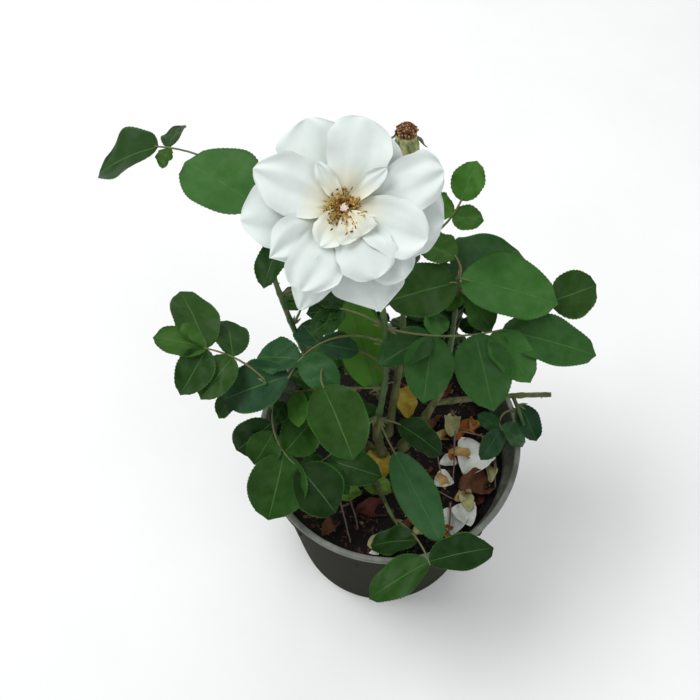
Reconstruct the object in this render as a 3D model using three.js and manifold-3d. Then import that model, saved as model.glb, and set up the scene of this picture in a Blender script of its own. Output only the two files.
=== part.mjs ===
// A rose bush in a round nursery pot: the pot and its soil, the woody canes, the leafy shoots that grow
// from them, one open white bloom and one spent bloom.
//
// Sizes are in millimetres and angles in degrees. +Z is up, -Y is the front, and the origin is the centre
// of the pot's flat underside. A heading turns from +X towards +Y, and a climb rises from the horizontal.

import * as THREE from 'three';
import { mergeVertices } from 'three/addons/utils/BufferGeometryUtils.js';
import Module from 'manifold-3d';

// ---- Driving dimensions ----

const CLEARANCE = 0.3; // between a piece and what carries it

const POT_HEIGHT = 185;
const FOOT_RADIUS = 78; // outside of the underside
const SHOULDER_RADIUS = 94; // outside of the wall, just under the rim band
const BAND_RADIUS = 98; // outside of the rim band at its lower edge
const RIM_RADIUS = 100; // outside of the lip
const LIP_WIDTH = 4.4;
const LIP_ROUND = 1.2;
const BAND_HEIGHT = 20;
const WALL = 2.2;
const FLOOR = 3;
const RIB_COUNT = 12; // short upright ribs under the rim band
const RIB_WIDTH = 3;
const RIB_HEIGHT = 16;
const DRAIN_COUNT = 4;
const DRAIN_RADIUS = 6;
const DRAIN_RING = 52;
const POT_SEGMENTS = 48;

const SOIL_TOP = 158; // the level disc that the canes stand on
const SOIL_EDGE = 153; // where the soil meets the wall
const SOIL_DISC = 42; // radius of the level disc

const CANE_SIDES = 8;
const CANE_STEPS = 6;
const ROOT_FLARE = 1.5; // foot radius over the radius just above it
const FLARE_HEIGHT = 9;
const SHOOT_SIDES = 5;
const SHOOT_STEPS = 7;
const STALK_SIDES = 3;
const STALK_STEPS = 4;
const STALK_RADII = [1.1, 0.8];

const LEAF_THICKNESS = 1;
const LEAF_STATIONS = [0, 0.14, 0.42, 0.74, 1];
const LEAF_SINK = 2.5; // how far a blade's root runs back into its stalk
const LEAF_SHAPE = { width: 0.62, curl: 22, fold: 0.22, roll: 0 };
const LEAF_DROOP = 8; // a side leaflet's tip hangs by this much
const LEAF_CHANCE = { turn: 5, length: 0.06, droop: 6, roll: 12 }; // how far leaflets vary
const PAIRS = [
  [0.8, 0.85],
  [0.48, 0.75],
]; // a filling leaf's pairs: place, and length next to the end leaflet's
const PAIR_TURN = 68;
const LEAF_SPACE = 120; // a leaflet's middle lies no farther than this from its shoot

const PETAL_THICKNESS = 0.9;
const PETAL_STATIONS = [0, 0.24, 0.5, 0.74, 0.92, 1];
const PETAL_SHAPE = { point: 0, lean: 0, belly: [0.7, 0.7], claw: 0.75 };
const PETAL_STRIPS = 4;

// ---- The plant's plan ----

// Canes stand on the soil; a side cane grows from another at a part of its length.
const CANES = {
  cane_main: { foot: [-4, -8], heading: [180, 180], climb: [80, 88], length: 64, radius: [4.2, 3] },
  cane_left: { foot: [-16, 0], heading: [150, 162], climb: [58, 68], length: 83, radius: [3.6, 2.6] },
  cane_right: { foot: [12, 2], heading: [30, 42], climb: [58, 68], length: 76, radius: [3.6, 2.6] },
  cane_back: { foot: [0, 14], heading: [70, 82], climb: [66, 74], length: 98, radius: [3.4, 2.4] },
  cane_front: { foot: [-12, -24], heading: [-80, -70], climb: [44, 30], length: 30, radius: [3, 2] },
  stub_right: {
    from: 'cane_right',
    at: 0.7,
    heading: [2, -10],
    climb: [14, 20],
    length: 87,
    radius: [2.4, 1.8],
  },
};

// Shoots carry the leaves. One without `at` grows on from its cane's tip.
const SHOOTS = {
  flower_shoot: { from: 'cane_main', heading: [53, 167], climb: [75, 73], length: 190, radius: [2.4, 1.7] },
  left_high: { from: 'cane_left', heading: [133, 140], climb: [57, 91], length: 179, radius: [2.2, 1.4] },
  left_low: {
    from: 'cane_left',
    at: 0.7,
    heading: [-160, -160],
    climb: [54, 54],
    length: 84,
    radius: [1.9, 1.3],
  },
  right_high: { from: 'cane_right', heading: [84, 84], climb: [72, 72], length: 97, radius: [2.1, 1.4] },
  right_low: {
    from: 'stub_right',
    at: 0.68,
    heading: [-75, -75],
    climb: [5, -15],
    length: 24,
    radius: [1.5, 1.2],
  },
  front_shoot: { from: 'cane_front', heading: [-70, -60], climb: [10, -10], length: 22, radius: [1.7, 1.3] },
  back_high: { from: 'cane_back', heading: [97, 97], climb: [76, 76], length: 140, radius: [2.1, 1.5] },
  back_mid: {
    from: 'cane_back',
    at: 0.7,
    heading: [130, 150],
    climb: [55, 62],
    length: 120,
    radius: [1.8, 1.2],
  },
  back_right: {
    from: 'cane_back',
    at: 0.55,
    heading: [40, 30],
    climb: [40, 50],
    length: 80,
    radius: [1.7, 1.2],
  },
};

// Leaves, by the shoot that carries them. `at` is the part of the shoot's length and `reach` the length of
// the leaf's stalk. Each leaflet is its place along the stalk, its turn from it and its length, and its
// width next to its length where that isn't the leaf's own.
const LEAVES = {
  flower_shoot: [
    { at: 0.16, heading: [170, 112], climb: [25, 50], reach: 11, leaflets: [[1, 0, 64]], width: 0.56 },
    {
      at: 0.03,
      heading: [-70, -60],
      climb: [-10, -10],
      reach: 30,
      leaflets: [[1, 0, 69]],
      width: 0.4,
      curl: 10,
    },
    { at: 0.02, heading: [10, -25], climb: [-25, -5], reach: 18, leaflets: [[1, 0, 38]] },
    {
      at: 0.28,
      heading: [115, 295],
      climb: [20, 5],
      reach: 74,
      leaflets: [[1, 0, 49]],
      width: 0.75,
    },
    {
      at: 0.2,
      heading: [180, 180],
      climb: [5, -15],
      reach: 62,
      leaflets: [
        [1, 85, 22],
        [0.8, 55, 19],
        [0.8, -60, 23],
      ],
    },
    {
      at: 0.42,
      heading: [145, 245],
      climb: [0, -25],
      reach: 79,
      leaflets: [
        [1, -54, 58, 0.62],
        [0.8, -55, 34],
        [0.8, 100, 29],
        [0.6, -84, 27],
        [0.6, 150, 26],
      ],
      width: 0.75,
    },
    {
      at: 0.5,
      heading: [-5, 10],
      climb: [-20, 10],
      reach: 81,
      leaflets: [
        [1, -25, 67, 0.5],
        [0.9, -70, 40],
        [0.75, -90, 50],
        [0.4, -100, 44],
        [0.4, -150, 38],
        [0.4, 75, 24],
      ],
      width: 0.7,
    },
    {
      at: 0.5,
      heading: [155, 175],
      climb: [30, 10],
      reach: 33,
      leaflets: [
        [1, 10, 22],
        [0.9, 45, 26],
        [0.95, -25, 23],
      ],
    },
    {
      at: 0.05,
      heading: [220, 205],
      climb: [-20, -30],
      reach: 54,
      leaflets: [
        [1, 130, 42],
        [1, -10, 26],
        [1, 85, 28],
      ],
    },
  ],
  left_high: [
    { at: 0.94, heading: [95, 145], climb: [50, 25], reach: 5, leaflets: [[1, -4, 52]], width: 0.88 },
    {
      at: 0.95,
      heading: [108, 172],
      climb: [-5, -5],
      reach: 94,
      leaflets: [
        [1, 13, 46],
        [0.9, 80, 12],
        [0.9, -80, 33, 0.42],
      ],
      width: 0.85,
    },
    { at: 0.8, heading: [10, -60], climb: [10, 0], reach: 14, leaflets: [[1, -45, 28]] },
  ],
  left_low: [
    {
      at: 0.95,
      heading: [130, 180],
      climb: [9, 20],
      reach: 52,
      leaflets: [
        [1, -8, 36],
        [1, -72, 55, 0.56],
        [1, 65, 33],
        [0.6, -65, 34],
        [0.6, 75, 32],
      ],
      width: 0.7,
    },
    {
      at: 0.85,
      heading: [-120, -25],
      climb: [-50, -20],
      reach: 66,
      leaflets: [
        [1, -15, 42],
        [0.75, -50, 47],
        [0.75, 100, 32],
        [0.5, -45, 26],
        [0.4, -55, 34],
        [0.4, 135, 15],
      ],
      width: 0.85,
    },
    { at: 0.72, heading: [110, 230], climb: [5, -15], reach: 42, leaflets: [[1, 0, 29]] },
  ],
  right_high: [
    { at: 1, heading: [-75, -17], climb: [45, 17], reach: 4, leaflets: [[1, 0, 63]], width: 0.72, roll: 14 },
    { at: 0.84, heading: [110, 62], climb: [8, -2], reach: 17, leaflets: [[1, -24, 60]], width: 0.78 },
    {
      at: 0.95,
      heading: [145, 195],
      climb: [5, 5],
      reach: 4,
      leaflets: [[1, 0, 45]],
      width: 0.75,
      roll: -20,
    },
    { at: 0.97, heading: [70, 135], climb: [35, 20], reach: 19, leaflets: [[1, 15, 30]], width: 0.85 },
    {
      at: 0.8,
      heading: [-15, 10],
      climb: [-5, 13],
      reach: 65,
      leaflets: [[1, 0, 34]],
      width: 0.95,
      roll: 30,
    },
    { at: 0.88, heading: [180, -135], climb: [5, -10], reach: 19, leaflets: [[1, 0, 17]] },
    { at: 0.9, heading: [-25, -45], climb: [10, -20], reach: 7, leaflets: [[1, 0, 32]], width: 0.75 },
  ],
  right_low: [
    { at: 0.3, heading: [-20, -60], climb: [20, -10], reach: 5, leaflets: [[1, 0, 26]] },
    {
      at: 0.6,
      heading: [-235, -45],
      climb: [-20, -25],
      reach: 27,
      leaflets: [
        [1, 35, 29],
        [1, -70, 25],
        [0.9, -145, 18],
      ],
    },
  ],
  front_shoot: [
    {
      at: 0.9,
      heading: [-45, -75],
      climb: [48, 5],
      reach: 54,
      leaflets: [
        [1, 95, 51],
        [1, -80, 47],
        [0.6, -125, 39],
      ],
      width: 0.55,
    },
  ],
  back_high: [
    {
      at: 0.62,
      heading: [-25, 60],
      climb: [35, 50],
      reach: 54,
      leaflets: [
        [1, 5, 25],
        [0.75, -55, 18],
        [0.8, 100, 20],
      ],
      width: 0.8,
    },
  ],
  back_mid: [],
  back_right: [],
};

// Leaves that fill a shoot out: how many, the arc of headings they keep to, the end leaflet's length, and
// the part of the shoot they grow on where it isn't the usual one.
const FILL = {
  back_mid: { count: 4, arc: [20, 200], blade: 34 },
  back_right: { count: 3, arc: [-20, 130], blade: 32 },
  back_high: { count: 3, arc: [100, 160], blade: 30 },
  left_high: { count: 2, arc: [0, 80], blade: 30 },
  right_high: { count: 2, arc: [20, 120], blade: 28, span: [0.1, 0.6] },
};
const GOLDEN_TURN = 137.5;
const FILL_REACH = [26, 40];
const FILL_CLIMB = [5, 35];
const FILL_SPAN = [0.25, 0.95];
const FILL_SEED = 100;

// ---- Small helpers ----

const rad = THREE.MathUtils.degToRad;
const mix = THREE.MathUtils.lerp;

// Numbers from 0 to 1 that are the same for the same seed.
function dice(seed) {
  let state = seed * 7919 + 17;
  return () => {
    state = (state * 1664525 + 1013904223) % 2 ** 32;
    return state / 2 ** 32;
  };
}

function direction(heading, climb) {
  const level = Math.cos(rad(climb));
  return new THREE.Vector3(
    level * Math.cos(rad(heading)),
    level * Math.sin(rad(heading)),
    Math.sin(rad(climb)),
  );
}

// The centre line of a limb that turns evenly from its first heading and climb to its last.
function limbPath(start, heading, climb, length, steps) {
  const points = [start.clone()];
  for (let i = 0; i < steps; i++) {
    const t = (i + 0.5) / steps;
    const step = direction(mix(...heading, t), mix(...climb, t)).multiplyScalar(length / steps);
    points.push(points[i].clone().add(step));
  }
  return points;
}

function pointAt(points, t) {
  const place = t * (points.length - 1);
  const i = Math.min(Math.floor(place), points.length - 2);
  return points[i].clone().lerp(points[i + 1], place - i);
}

// ---- Closed meshes ----

// Joins rings of points into a closed skin. A ring of one point is a tip; an open end gets a flat cap.
function skin(rings) {
  const points = [];
  const faces = [];
  const starts = rings.map((ring) => {
    const start = points.length;
    points.push(...ring);
    return start;
  });
  for (let r = 0; r + 1 < rings.length; r++) {
    const sides = Math.max(rings[r].length, rings[r + 1].length);
    for (let i = 0; i < sides; i++) {
      const j = (i + 1) % sides;
      const [a, b] = rings[r].length > 1 ? [starts[r] + i, starts[r] + j] : [starts[r], starts[r]];
      const [c, d] =
        rings[r + 1].length > 1 ? [starts[r + 1] + i, starts[r + 1] + j] : [starts[r + 1], starts[r + 1]];
      if (a !== b) faces.push([a, b, d]);
      if (c !== d) faces.push([a, d, c]);
    }
  }
  const last = starts[starts.length - 1];
  for (let i = 2; i < rings[0].length; i++) faces.push([0, i, i - 1]);
  for (let i = 2; i < rings[rings.length - 1].length; i++) faces.push([last, last + i - 1, last + i]);
  const geometry = new THREE.BufferGeometry().setFromPoints(points);
  geometry.setIndex(faces.flat());
  return geometry;
}

// A tapering tube round a centre line. With `level`, its foot is cut flat and level.
function tube(points, radii, sides, level = false) {
  let side = new THREE.Vector3(0, 1, 0);
  const rings = points.map((point, i) => {
    const before = points[Math.max(i - 1, 0)];
    const after = points[Math.min(i + 1, points.length - 1)];
    const along = after.clone().sub(before).normalize();
    side = side.clone().addScaledVector(along, -side.dot(along)).normalize();
    const other = new THREE.Vector3().crossVectors(along, side);
    return Array.from({ length: sides }, (_, k) => {
      const turn = (2 * Math.PI * k) / sides;
      const corner = point
        .clone()
        .addScaledVector(side, radii[i] * Math.cos(turn))
        .addScaledVector(other, radii[i] * Math.sin(turn));
      if (level && i === 0) corner.addScaledVector(along, (point.z - corner.z) / along.z);
      return corner;
    });
  });
  return skin(rings);
}

// A thin blade along a centre line that bends down by `curl` and shifts sideways by `lean`. Its half widths
// go by station and side, its edges rise by `lift` of them, and it is thickest along the middle.
function blade({ start, along, up, length, curl, lean = 0, stations, halfWidth, lift, thickness, strips }) {
  const side = new THREE.Vector3().crossVectors(along, up).normalize();
  const point = start.clone();
  let last = 0;
  const rings = stations.map((s) => {
    const middle = along.clone().applyAxisAngle(side, (-rad(curl) * (s + last)) / 2);
    point.addScaledVector(middle, length * (s - last));
    last = s;
    const centre = point.clone().addScaledVector(side, lean * s * s);
    if (halfWidth(s, 0) < 1e-6) return [centre];
    const normal = up.clone().applyAxisAngle(side, -rad(curl) * s);
    const across = (v, face) =>
      centre
        .clone()
        .addScaledVector(side, v * halfWidth(s, v))
        .addScaledVector(normal, lift * halfWidth(s, v) * v * v + (face * thickness * (1 - v * v)) / 2);
    const over = Array.from({ length: strips + 1 }, (_, k) => across((2 * k) / strips - 1, 1));
    const under = Array.from({ length: strips - 1 }, (_, k) => across(1 - (2 * (k + 1)) / strips, -1));
    return [...over, ...under];
  });
  return skin(rings);
}

// ---- Solids ----

const wasm = await Module();
wasm.setup();

function solid(geometry) {
  const bare = geometry.clone();
  bare.deleteAttribute('normal');
  bare.deleteAttribute('uv');
  const merged = mergeVertices(bare, 1e-4);
  return new wasm.Manifold(
    new wasm.Mesh({
      numProp: 3,
      vertProperties: new Float32Array(merged.attributes.position.array),
      triVerts: new Uint32Array(merged.index.array),
    }),
  );
}

// The largest outer shell alone, so sealed hollows are filled and loose scraps dropped.
function sound(body) {
  return body.decompose().reduce((best, shell) => (shell.volume() > best.volume() ? shell : best));
}

function meshOf(name, body, material) {
  const { vertProperties, triVerts } = body.getMesh();
  const geometry = new THREE.BufferGeometry();
  geometry.setAttribute('position', new THREE.BufferAttribute(vertProperties, 3));
  geometry.setIndex(new THREE.BufferAttribute(triVerts, 1));
  geometry.computeVertexNormals();
  const mesh = new THREE.Mesh(geometry, material);
  mesh.name = name;
  return mesh;
}

// ---- Pot and soil ----

const BAND_FOOT = POT_HEIGHT - BAND_HEIGHT;

// Outside radius of the plain wall at a height.
function wallRadius(z) {
  return mix(FOOT_RADIUS, SHOULDER_RADIUS, z / BAND_FOOT);
}

function lathe(profile) {
  const geometry = new THREE.LatheGeometry(
    profile.map(([r, z]) => new THREE.Vector2(r, z)),
    POT_SEGMENTS,
  );
  return solid(geometry.rotateX(Math.PI / 2));
}

function potSolid() {
  const inner = RIM_RADIUS - LIP_WIDTH;
  let pot = lathe([
    [0, 0],
    [FOOT_RADIUS - 2, 0],
    [FOOT_RADIUS, 2],
    [SHOULDER_RADIUS, BAND_FOOT],
    [BAND_RADIUS, BAND_FOOT + 1],
    [RIM_RADIUS, POT_HEIGHT - LIP_ROUND],
    [RIM_RADIUS - LIP_ROUND, POT_HEIGHT],
    [inner + LIP_ROUND, POT_HEIGHT],
    [inner, POT_HEIGHT - LIP_ROUND],
    [BAND_RADIUS - WALL - 1, BAND_FOOT + WALL],
    [SHOULDER_RADIUS - WALL, BAND_FOOT],
    [wallRadius(FLOOR) - WALL, FLOOR],
    [0, FLOOR],
  ]);
  const ribFoot = SHOULDER_RADIUS - WALL + CLEARANCE;
  const ribDepth = BAND_RADIUS - 1 - ribFoot;
  for (let i = 0; i < RIB_COUNT; i++) {
    const rib = new THREE.BoxGeometry(ribDepth, RIB_WIDTH, RIB_HEIGHT)
      .translate(ribFoot + ribDepth / 2, 0, BAND_FOOT + 1 - RIB_HEIGHT / 2)
      .rotateZ((2 * Math.PI * (i + 0.5)) / RIB_COUNT);
    pot = pot.add(solid(rib));
  }
  for (let i = 0; i < DRAIN_COUNT; i++) {
    const drain = new THREE.CylinderGeometry(DRAIN_RADIUS, DRAIN_RADIUS, 4 * FLOOR, 16)
      .rotateX(Math.PI / 2)
      .translate(DRAIN_RING, 0, 0)
      .rotateZ((2 * Math.PI * i) / DRAIN_COUNT);
    pot = pot.subtract(solid(drain));
  }
  return pot;
}

function soilSolid() {
  const within = (z) => wallRadius(z) - WALL - CLEARANCE;
  const floor = FLOOR + CLEARANCE;
  return lathe([
    [0, floor],
    [within(floor), floor],
    [within(SOIL_EDGE), SOIL_EDGE],
    [SOIL_DISC, SOIL_TOP],
    [0, SOIL_TOP],
  ]);
}

// ---- Canes and shoots ----

const paths = {};
const radii = {};

// A limb's radii from its foot to its tip.
function taper(radius, count) {
  return Array.from({ length: count }, (_, i) => mix(...radius, i / (count - 1)));
}

// A copy of a limb that is fatter by the clearance, to cut what grows from its side.
function room(name) {
  return solid(tube(paths[name], radii[name].map((r) => r + CLEARANCE), CANE_SIDES));
}

function caneSolid(name, cane) {
  const start = cane.from
    ? pointAt(paths[cane.from], cane.at)
    : new THREE.Vector3(...cane.foot, SOIL_TOP + CLEARANCE);
  const points = limbPath(start, cane.heading, cane.climb, cane.length, CANE_STEPS);
  const sizes = taper(cane.radius, points.length);
  if (!cane.from) {
    points.splice(1, 0, pointAt(points, FLARE_HEIGHT / cane.length));
    sizes.splice(0, 1, cane.radius[0] * ROOT_FLARE, cane.radius[0]);
  }
  paths[name] = points;
  radii[name] = sizes;
  const body = solid(tube(points, sizes, CANE_SIDES, !cane.from));
  return cane.from ? sound(body.subtract(room(cane.from))) : body;
}

// The direction of a limb at its tip, and the point that lies a distance beyond the tip.
function tipDirection(name) {
  const [before, end] = paths[name].slice(-2);
  return end.clone().sub(before).normalize();
}

function beyondTip(name, distance) {
  return pointAt(paths[name], 1).addScaledVector(tipDirection(name), distance);
}

// A shoot from a cane's tip starts the clearance beyond the tip; one from its side is cut clear of it.
function shootSolid(name, shoot) {
  const fromTip = shoot.at === undefined;
  const start = fromTip ? beyondTip(shoot.from, CLEARANCE) : pointAt(paths[shoot.from], shoot.at);
  const points = limbPath(start, shoot.heading, shoot.climb, shoot.length, SHOOT_STEPS);
  paths[name] = points;
  radii[name] = taper(shoot.radius, points.length);
  return sound(solid(tube(points, radii[name], SHOOT_SIDES)).subtract(room(shoot.from)));
}

// ---- Leaves ----

function leafletOutline(s) {
  return s > 0 && s < 1 ? Math.sin(Math.PI * s ** 0.85) ** 0.8 : 0;
}

function leaflet(start, along, up, length, shape) {
  return solid(
    blade({
      start,
      along,
      up,
      length,
      curl: shape.curl,
      stations: LEAF_STATIONS,
      halfWidth: (s) => (leafletOutline(s) * shape.width * length) / 2,
      lift: shape.fold,
      thickness: LEAF_THICKNESS,
      strips: 2,
    }),
  );
}

// A leaf's stalk and leaflets.
function leafSolids(shoot, row, seed) {
  const shape = { ...LEAF_SHAPE, ...row };
  const chance = dice(seed);
  const vary = (spread) => spread * (2 * chance() - 1);
  const points = limbPath(pointAt(paths[shoot], row.at), row.heading, row.climb, row.reach, STALK_STEPS);
  const stalk = solid(tube(points, taper(STALK_RADII, points.length), STALK_SIDES));
  const leaflets = row.leaflets.map(([place, turn, length, width = shape.width]) => {
    const heading = mix(...row.heading, place);
    const climb = mix(...row.climb, place);
    const along = direction(heading, climb);
    const up = direction(heading, climb + 90).applyAxisAngle(along, rad(shape.roll));
    const start = pointAt(points, place);
    if (place === 1) start.addScaledVector(along, -LEAF_SINK);
    along.applyAxisAngle(up, rad(turn + vary(LEAF_CHANCE.turn)));
    const side = new THREE.Vector3().crossVectors(along, up);
    const drop = -rad(LEAF_DROOP + vary(LEAF_CHANCE.droop));
    along.applyAxisAngle(side, drop);
    up.applyAxisAngle(side, drop).applyAxisAngle(along, rad(vary(LEAF_CHANCE.roll)));
    const size = length * (1 + vary(LEAF_CHANCE.length)) + LEAF_SINK;
    return leaflet(start, along, up, size, { ...shape, width });
  });
  return { stalk, leaflets };
}

// A shoot's filling leaves: their headings step by the golden turn inside the arc.
function fillRows({ count, arc, blade, span = FILL_SPAN }, seed) {
  const chance = dice(seed);
  return Array.from({ length: count }, (_, i) => {
    const heading = arc[0] + ((GOLDEN_TURN * (i + chance())) % (arc[1] - arc[0]));
    const climb = mix(...FILL_CLIMB, chance());
    const size = blade * mix(0.8, 1.1, chance());
    const pairs = PAIRS.flatMap(([place, part]) =>
      [1, -1].map((turn) => [place, turn * PAIR_TURN, size * part]),
    );
    return {
      at: mix(...span, (i + chance()) / count),
      heading: [heading, heading + 30 * (chance() - 0.5)],
      climb: [climb, climb - 25],
      reach: mix(...FILL_REACH, chance()),
      leaflets: [[1, 0, size], ...pairs],
    };
  });
}

// ---- Bloom ----

const BLOOM_STALK = { heading: [170, 270], climb: [70, 51], length: 21, radius: [1.6, 2] };
const HIP = { radius: 4.5, length: 9 };
const STAMENS = { radius: 9, height: 7 };

// Each petal: its turn round the bloom, clockwise from the top, its length and width, the angle it rises
// at its root, how far it bends back along its length, and the cup across it. `point` sharpens its tip and
// `lean` shifts it clockwise, `belly` is the widest station of each half, and `claw` narrows its root.
const PETALS = [
  { turn: -156, length: 64, width: 24, lift: 0, curl: 20, cup: 0.1, root: 0, point: 0.7 },
  { turn: 168, length: 61, width: 42, lift: 3, curl: 16, cup: 0.1, root: 0, point: 1, lean: -8 },
  { turn: 97, length: 55, width: 44, lift: 11, curl: 22, cup: 0.12, root: 1 },
  {
    turn: -97,
    length: 57,
    width: 38,
    lift: 9,
    curl: 20,
    cup: 0.12,
    root: 1,
    point: 0.5,
    belly: [0.66, 0.74],
  },
  { turn: 36, length: 45, width: 26, lift: 8, curl: 20, cup: 0.12, root: 1 },
  {
    turn: -19,
    length: 51,
    width: 43,
    lift: 12,
    curl: 20,
    cup: 0.1,
    root: 1,
    point: 0.4,
    lean: -4,
    belly: [0.8, 0.6],
  },
  { turn: 139, length: 51, width: 28, lift: 13, curl: 16, cup: 0.15, root: 1, belly: [0.74, 0.7] },
  { turn: -126, length: 49, width: 28, lift: 17, curl: 18, cup: 0.12, root: 1.5, point: 1, lean: 2 },
  {
    turn: -67,
    length: 53,
    width: 33,
    lift: 18,
    curl: 22,
    cup: 0.12,
    root: 2,
    point: 0.5,
    belly: [0.6, 0.66],
  },
  { turn: 73, length: 57, width: 30, lift: 20, curl: 22, cup: 0.15, root: 2, lean: -3, belly: [0.8, 0.7] },
  { turn: -159, length: 51, width: 31, lift: 21, curl: 24, cup: 0.12, root: 2, lean: 6 },
  { turn: 18, length: 49, width: 35, lift: 22, curl: 24, cup: 0.15, root: 2.5, lean: -4, belly: [0.7, 0.76] },
  { turn: 111, length: 49, width: 31, lift: 24, curl: 24, cup: 0.14, root: 2.2, belly: [0.62, 0.7] },
  { turn: 154, length: 43, width: 32, lift: 26, curl: 28, cup: 0.18, root: 2.5, belly: [0.7, 0.7] },
  { turn: 44, length: 33, width: 10, lift: 30, curl: 14, cup: 0.3, root: 3, point: 0.3, lean: 2 },
  { turn: -31, length: 29, width: 10, lift: 26, curl: 14, cup: 0.3, root: 3, point: 0.3 },
  {
    turn: 150,
    length: 21,
    width: 22,
    lift: 62,
    curl: 78,
    cup: 0.35,
    root: 3.5,
    belly: [0.86, 0.86],
    claw: 1.8,
  },
  { turn: -148, length: 26, width: 18, lift: 34, curl: 26, cup: 0.2, root: 3, point: 0.3 },
].map((petal) => ({ ...PETAL_SHAPE, ...petal }));

function petalOutline(s, belly, { point, claw }) {
  if (s <= 0 || s >= 1) return 0;
  if (s < belly) return Math.sin((Math.PI / 2) * (s / belly)) ** claw;
  const beyond = (s - belly) / (1 - belly);
  const roundTip = Math.sqrt(1 - beyond ** 2);
  const sharpTip = Math.cos((Math.PI / 2) * beyond ** 0.85) ** 1.1;
  return mix(roundTip, sharpTip, point);
}

function bloomSolid() {
  const start = beyondTip('flower_shoot', CLEARANCE);
  const stalk = limbPath(start, BLOOM_STALK.heading, BLOOM_STALK.climb, BLOOM_STALK.length, STALK_STEPS);
  const heading = BLOOM_STALK.heading[1];
  const climb = BLOOM_STALK.climb[1];
  const axis = direction(heading, climb);
  const top = direction(heading, climb + 90);
  const base = stalk[stalk.length - 1];
  const along = (distance) => base.clone().addScaledVector(axis, distance);
  let body = solid(tube(stalk, taper(BLOOM_STALK.radius, stalk.length), SHOOT_SIDES));
  const hip = [-1, 2, HIP.length / 2, HIP.length].map(along);
  body = body.add(solid(tube(hip, [1.5, HIP.radius * 0.8, HIP.radius, HIP.radius * 0.9], CANE_SIDES)));
  const heart = along(HIP.length - 2);
  for (const petal of PETALS) {
    const outward = top.clone().applyAxisAngle(axis, -rad(petal.turn));
    const hinge = new THREE.Vector3().crossVectors(outward, axis);
    const petalSolid = solid(
      blade({
        start: heart.clone().addScaledVector(axis, petal.root),
        along: outward.clone().applyAxisAngle(hinge, rad(petal.lift)),
        up: axis.clone().applyAxisAngle(hinge, rad(petal.lift)),
        length: petal.length,
        curl: petal.curl,
        lean: petal.lean,
        stations: PETAL_STATIONS,
        halfWidth: (s, v) => (petalOutline(s, petal.belly[v < 0 ? 0 : 1], petal) * petal.width) / 2,
        lift: petal.cup,
        thickness: PETAL_THICKNESS,
        strips: PETAL_STRIPS,
      }),
    );
    body = body.add(petalSolid);
  }
  const boss = [0, 0.5, 0.85, 1].map((t) => heart.clone().addScaledVector(axis, 1 + STAMENS.height * t));
  const bossRadii = [0.5, 1, 0.7, 0.3].map((part) => part * STAMENS.radius);
  return sound(body.add(solid(tube(boss, bossRadii, CANE_SIDES))));
}

// ---- Spent bloom ----

const SPENT_STALK = 15;
const CALYX = { radius: 8, length: 15 };
const SEPALS = { count: 5, length: 12, width: 5, lift: 40 };
const TUFT = { radius: 7, length: 11 };

function spentBloomSolid() {
  const axis = tipDirection('back_high');
  const along = (distance) => beyondTip('back_high', CLEARANCE + distance);
  const reach = SPENT_STALK + CALYX.length;
  let body = solid(tube([0, SPENT_STALK].map(along), [1.5, 1.5], SHOOT_SIDES));
  const calyx = [-0.07, 0.25, 0.65, 1].map((part) => along(SPENT_STALK + CALYX.length * part));
  const calyxRadii = [0.2, 0.8, 1, 0.8].map((part) => part * CALYX.radius);
  body = body.add(solid(tube(calyx, calyxRadii, CANE_SIDES)));
  const tuft = [reach - 2, reach + TUFT.length * 0.5, reach + TUFT.length].map(along);
  body = body.add(solid(tube(tuft, [2.5, TUFT.radius, TUFT.radius * 0.7], CANE_SIDES)));
  for (let i = 0; i < SEPALS.count; i++) {
    const outward = direction(0, 0).applyAxisAngle(axis, (2 * Math.PI * i) / SEPALS.count);
    outward.addScaledVector(axis, -outward.dot(axis)).normalize();
    const hinge = new THREE.Vector3().crossVectors(outward, axis);
    const sepal = blade({
      start: along(reach - 3),
      along: outward.applyAxisAngle(hinge, rad(SEPALS.lift)),
      up: axis.clone().applyAxisAngle(hinge, rad(SEPALS.lift)),
      length: SEPALS.length,
      curl: 30,
      stations: LEAF_STATIONS,
      halfWidth: (s) => (leafletOutline(s) * SEPALS.width) / 2,
      lift: 0.2,
      thickness: LEAF_THICKNESS,
      strips: 2,
    });
    body = body.add(solid(sepal));
  }
  return sound(body);
}

// ---- Assembly ----

const material = (color, roughness) => new THREE.MeshStandardMaterial({ color, roughness, metalness: 0 });
const PLASTIC = material(0x3d423d, 0.6);
const SOIL = material(0x2a1d17, 1);
const BARK = material(0x5a5a34, 0.8);
const FOLIAGE = material(0x2c5a2c, 0.6);
const PETAL = material(0xe9efec, 0.7);
const DRIED = material(0x7a4a2a, 0.9);

const plant = new THREE.Group();
const standing = []; // solids that a new leaf must not touch

function place(name, body, look) {
  plant.add(meshOf(name, body, look));
  return body;
}

const touches = (body, others) => others.some((other) => other.intersect(body).volume() > 0);

// Whether a leaflet would leave its shoot's space.
function strays(name, body) {
  const { min, max } = body.boundingBox();
  const middle = new THREE.Vector3(...min).lerp(new THREE.Vector3(...max), 0.5);
  return paths[name].every((point) => point.distanceTo(middle) > LEAF_SPACE);
}

standing.push(place('pot', potSolid(), PLASTIC));
standing.push(place('soil', soilSolid(), SOIL));
for (const [name, cane] of Object.entries(CANES)) standing.push(place(name, caneSolid(name, cane), BARK));

const stems = {};
for (const [name, shoot] of Object.entries(SHOOTS)) stems[name] = shootSolid(name, shoot);
standing.push(place('bloom', bloomSolid(), PETAL));
standing.push(place('spent_bloom', spentBloomSolid(), DRIED));

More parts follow.
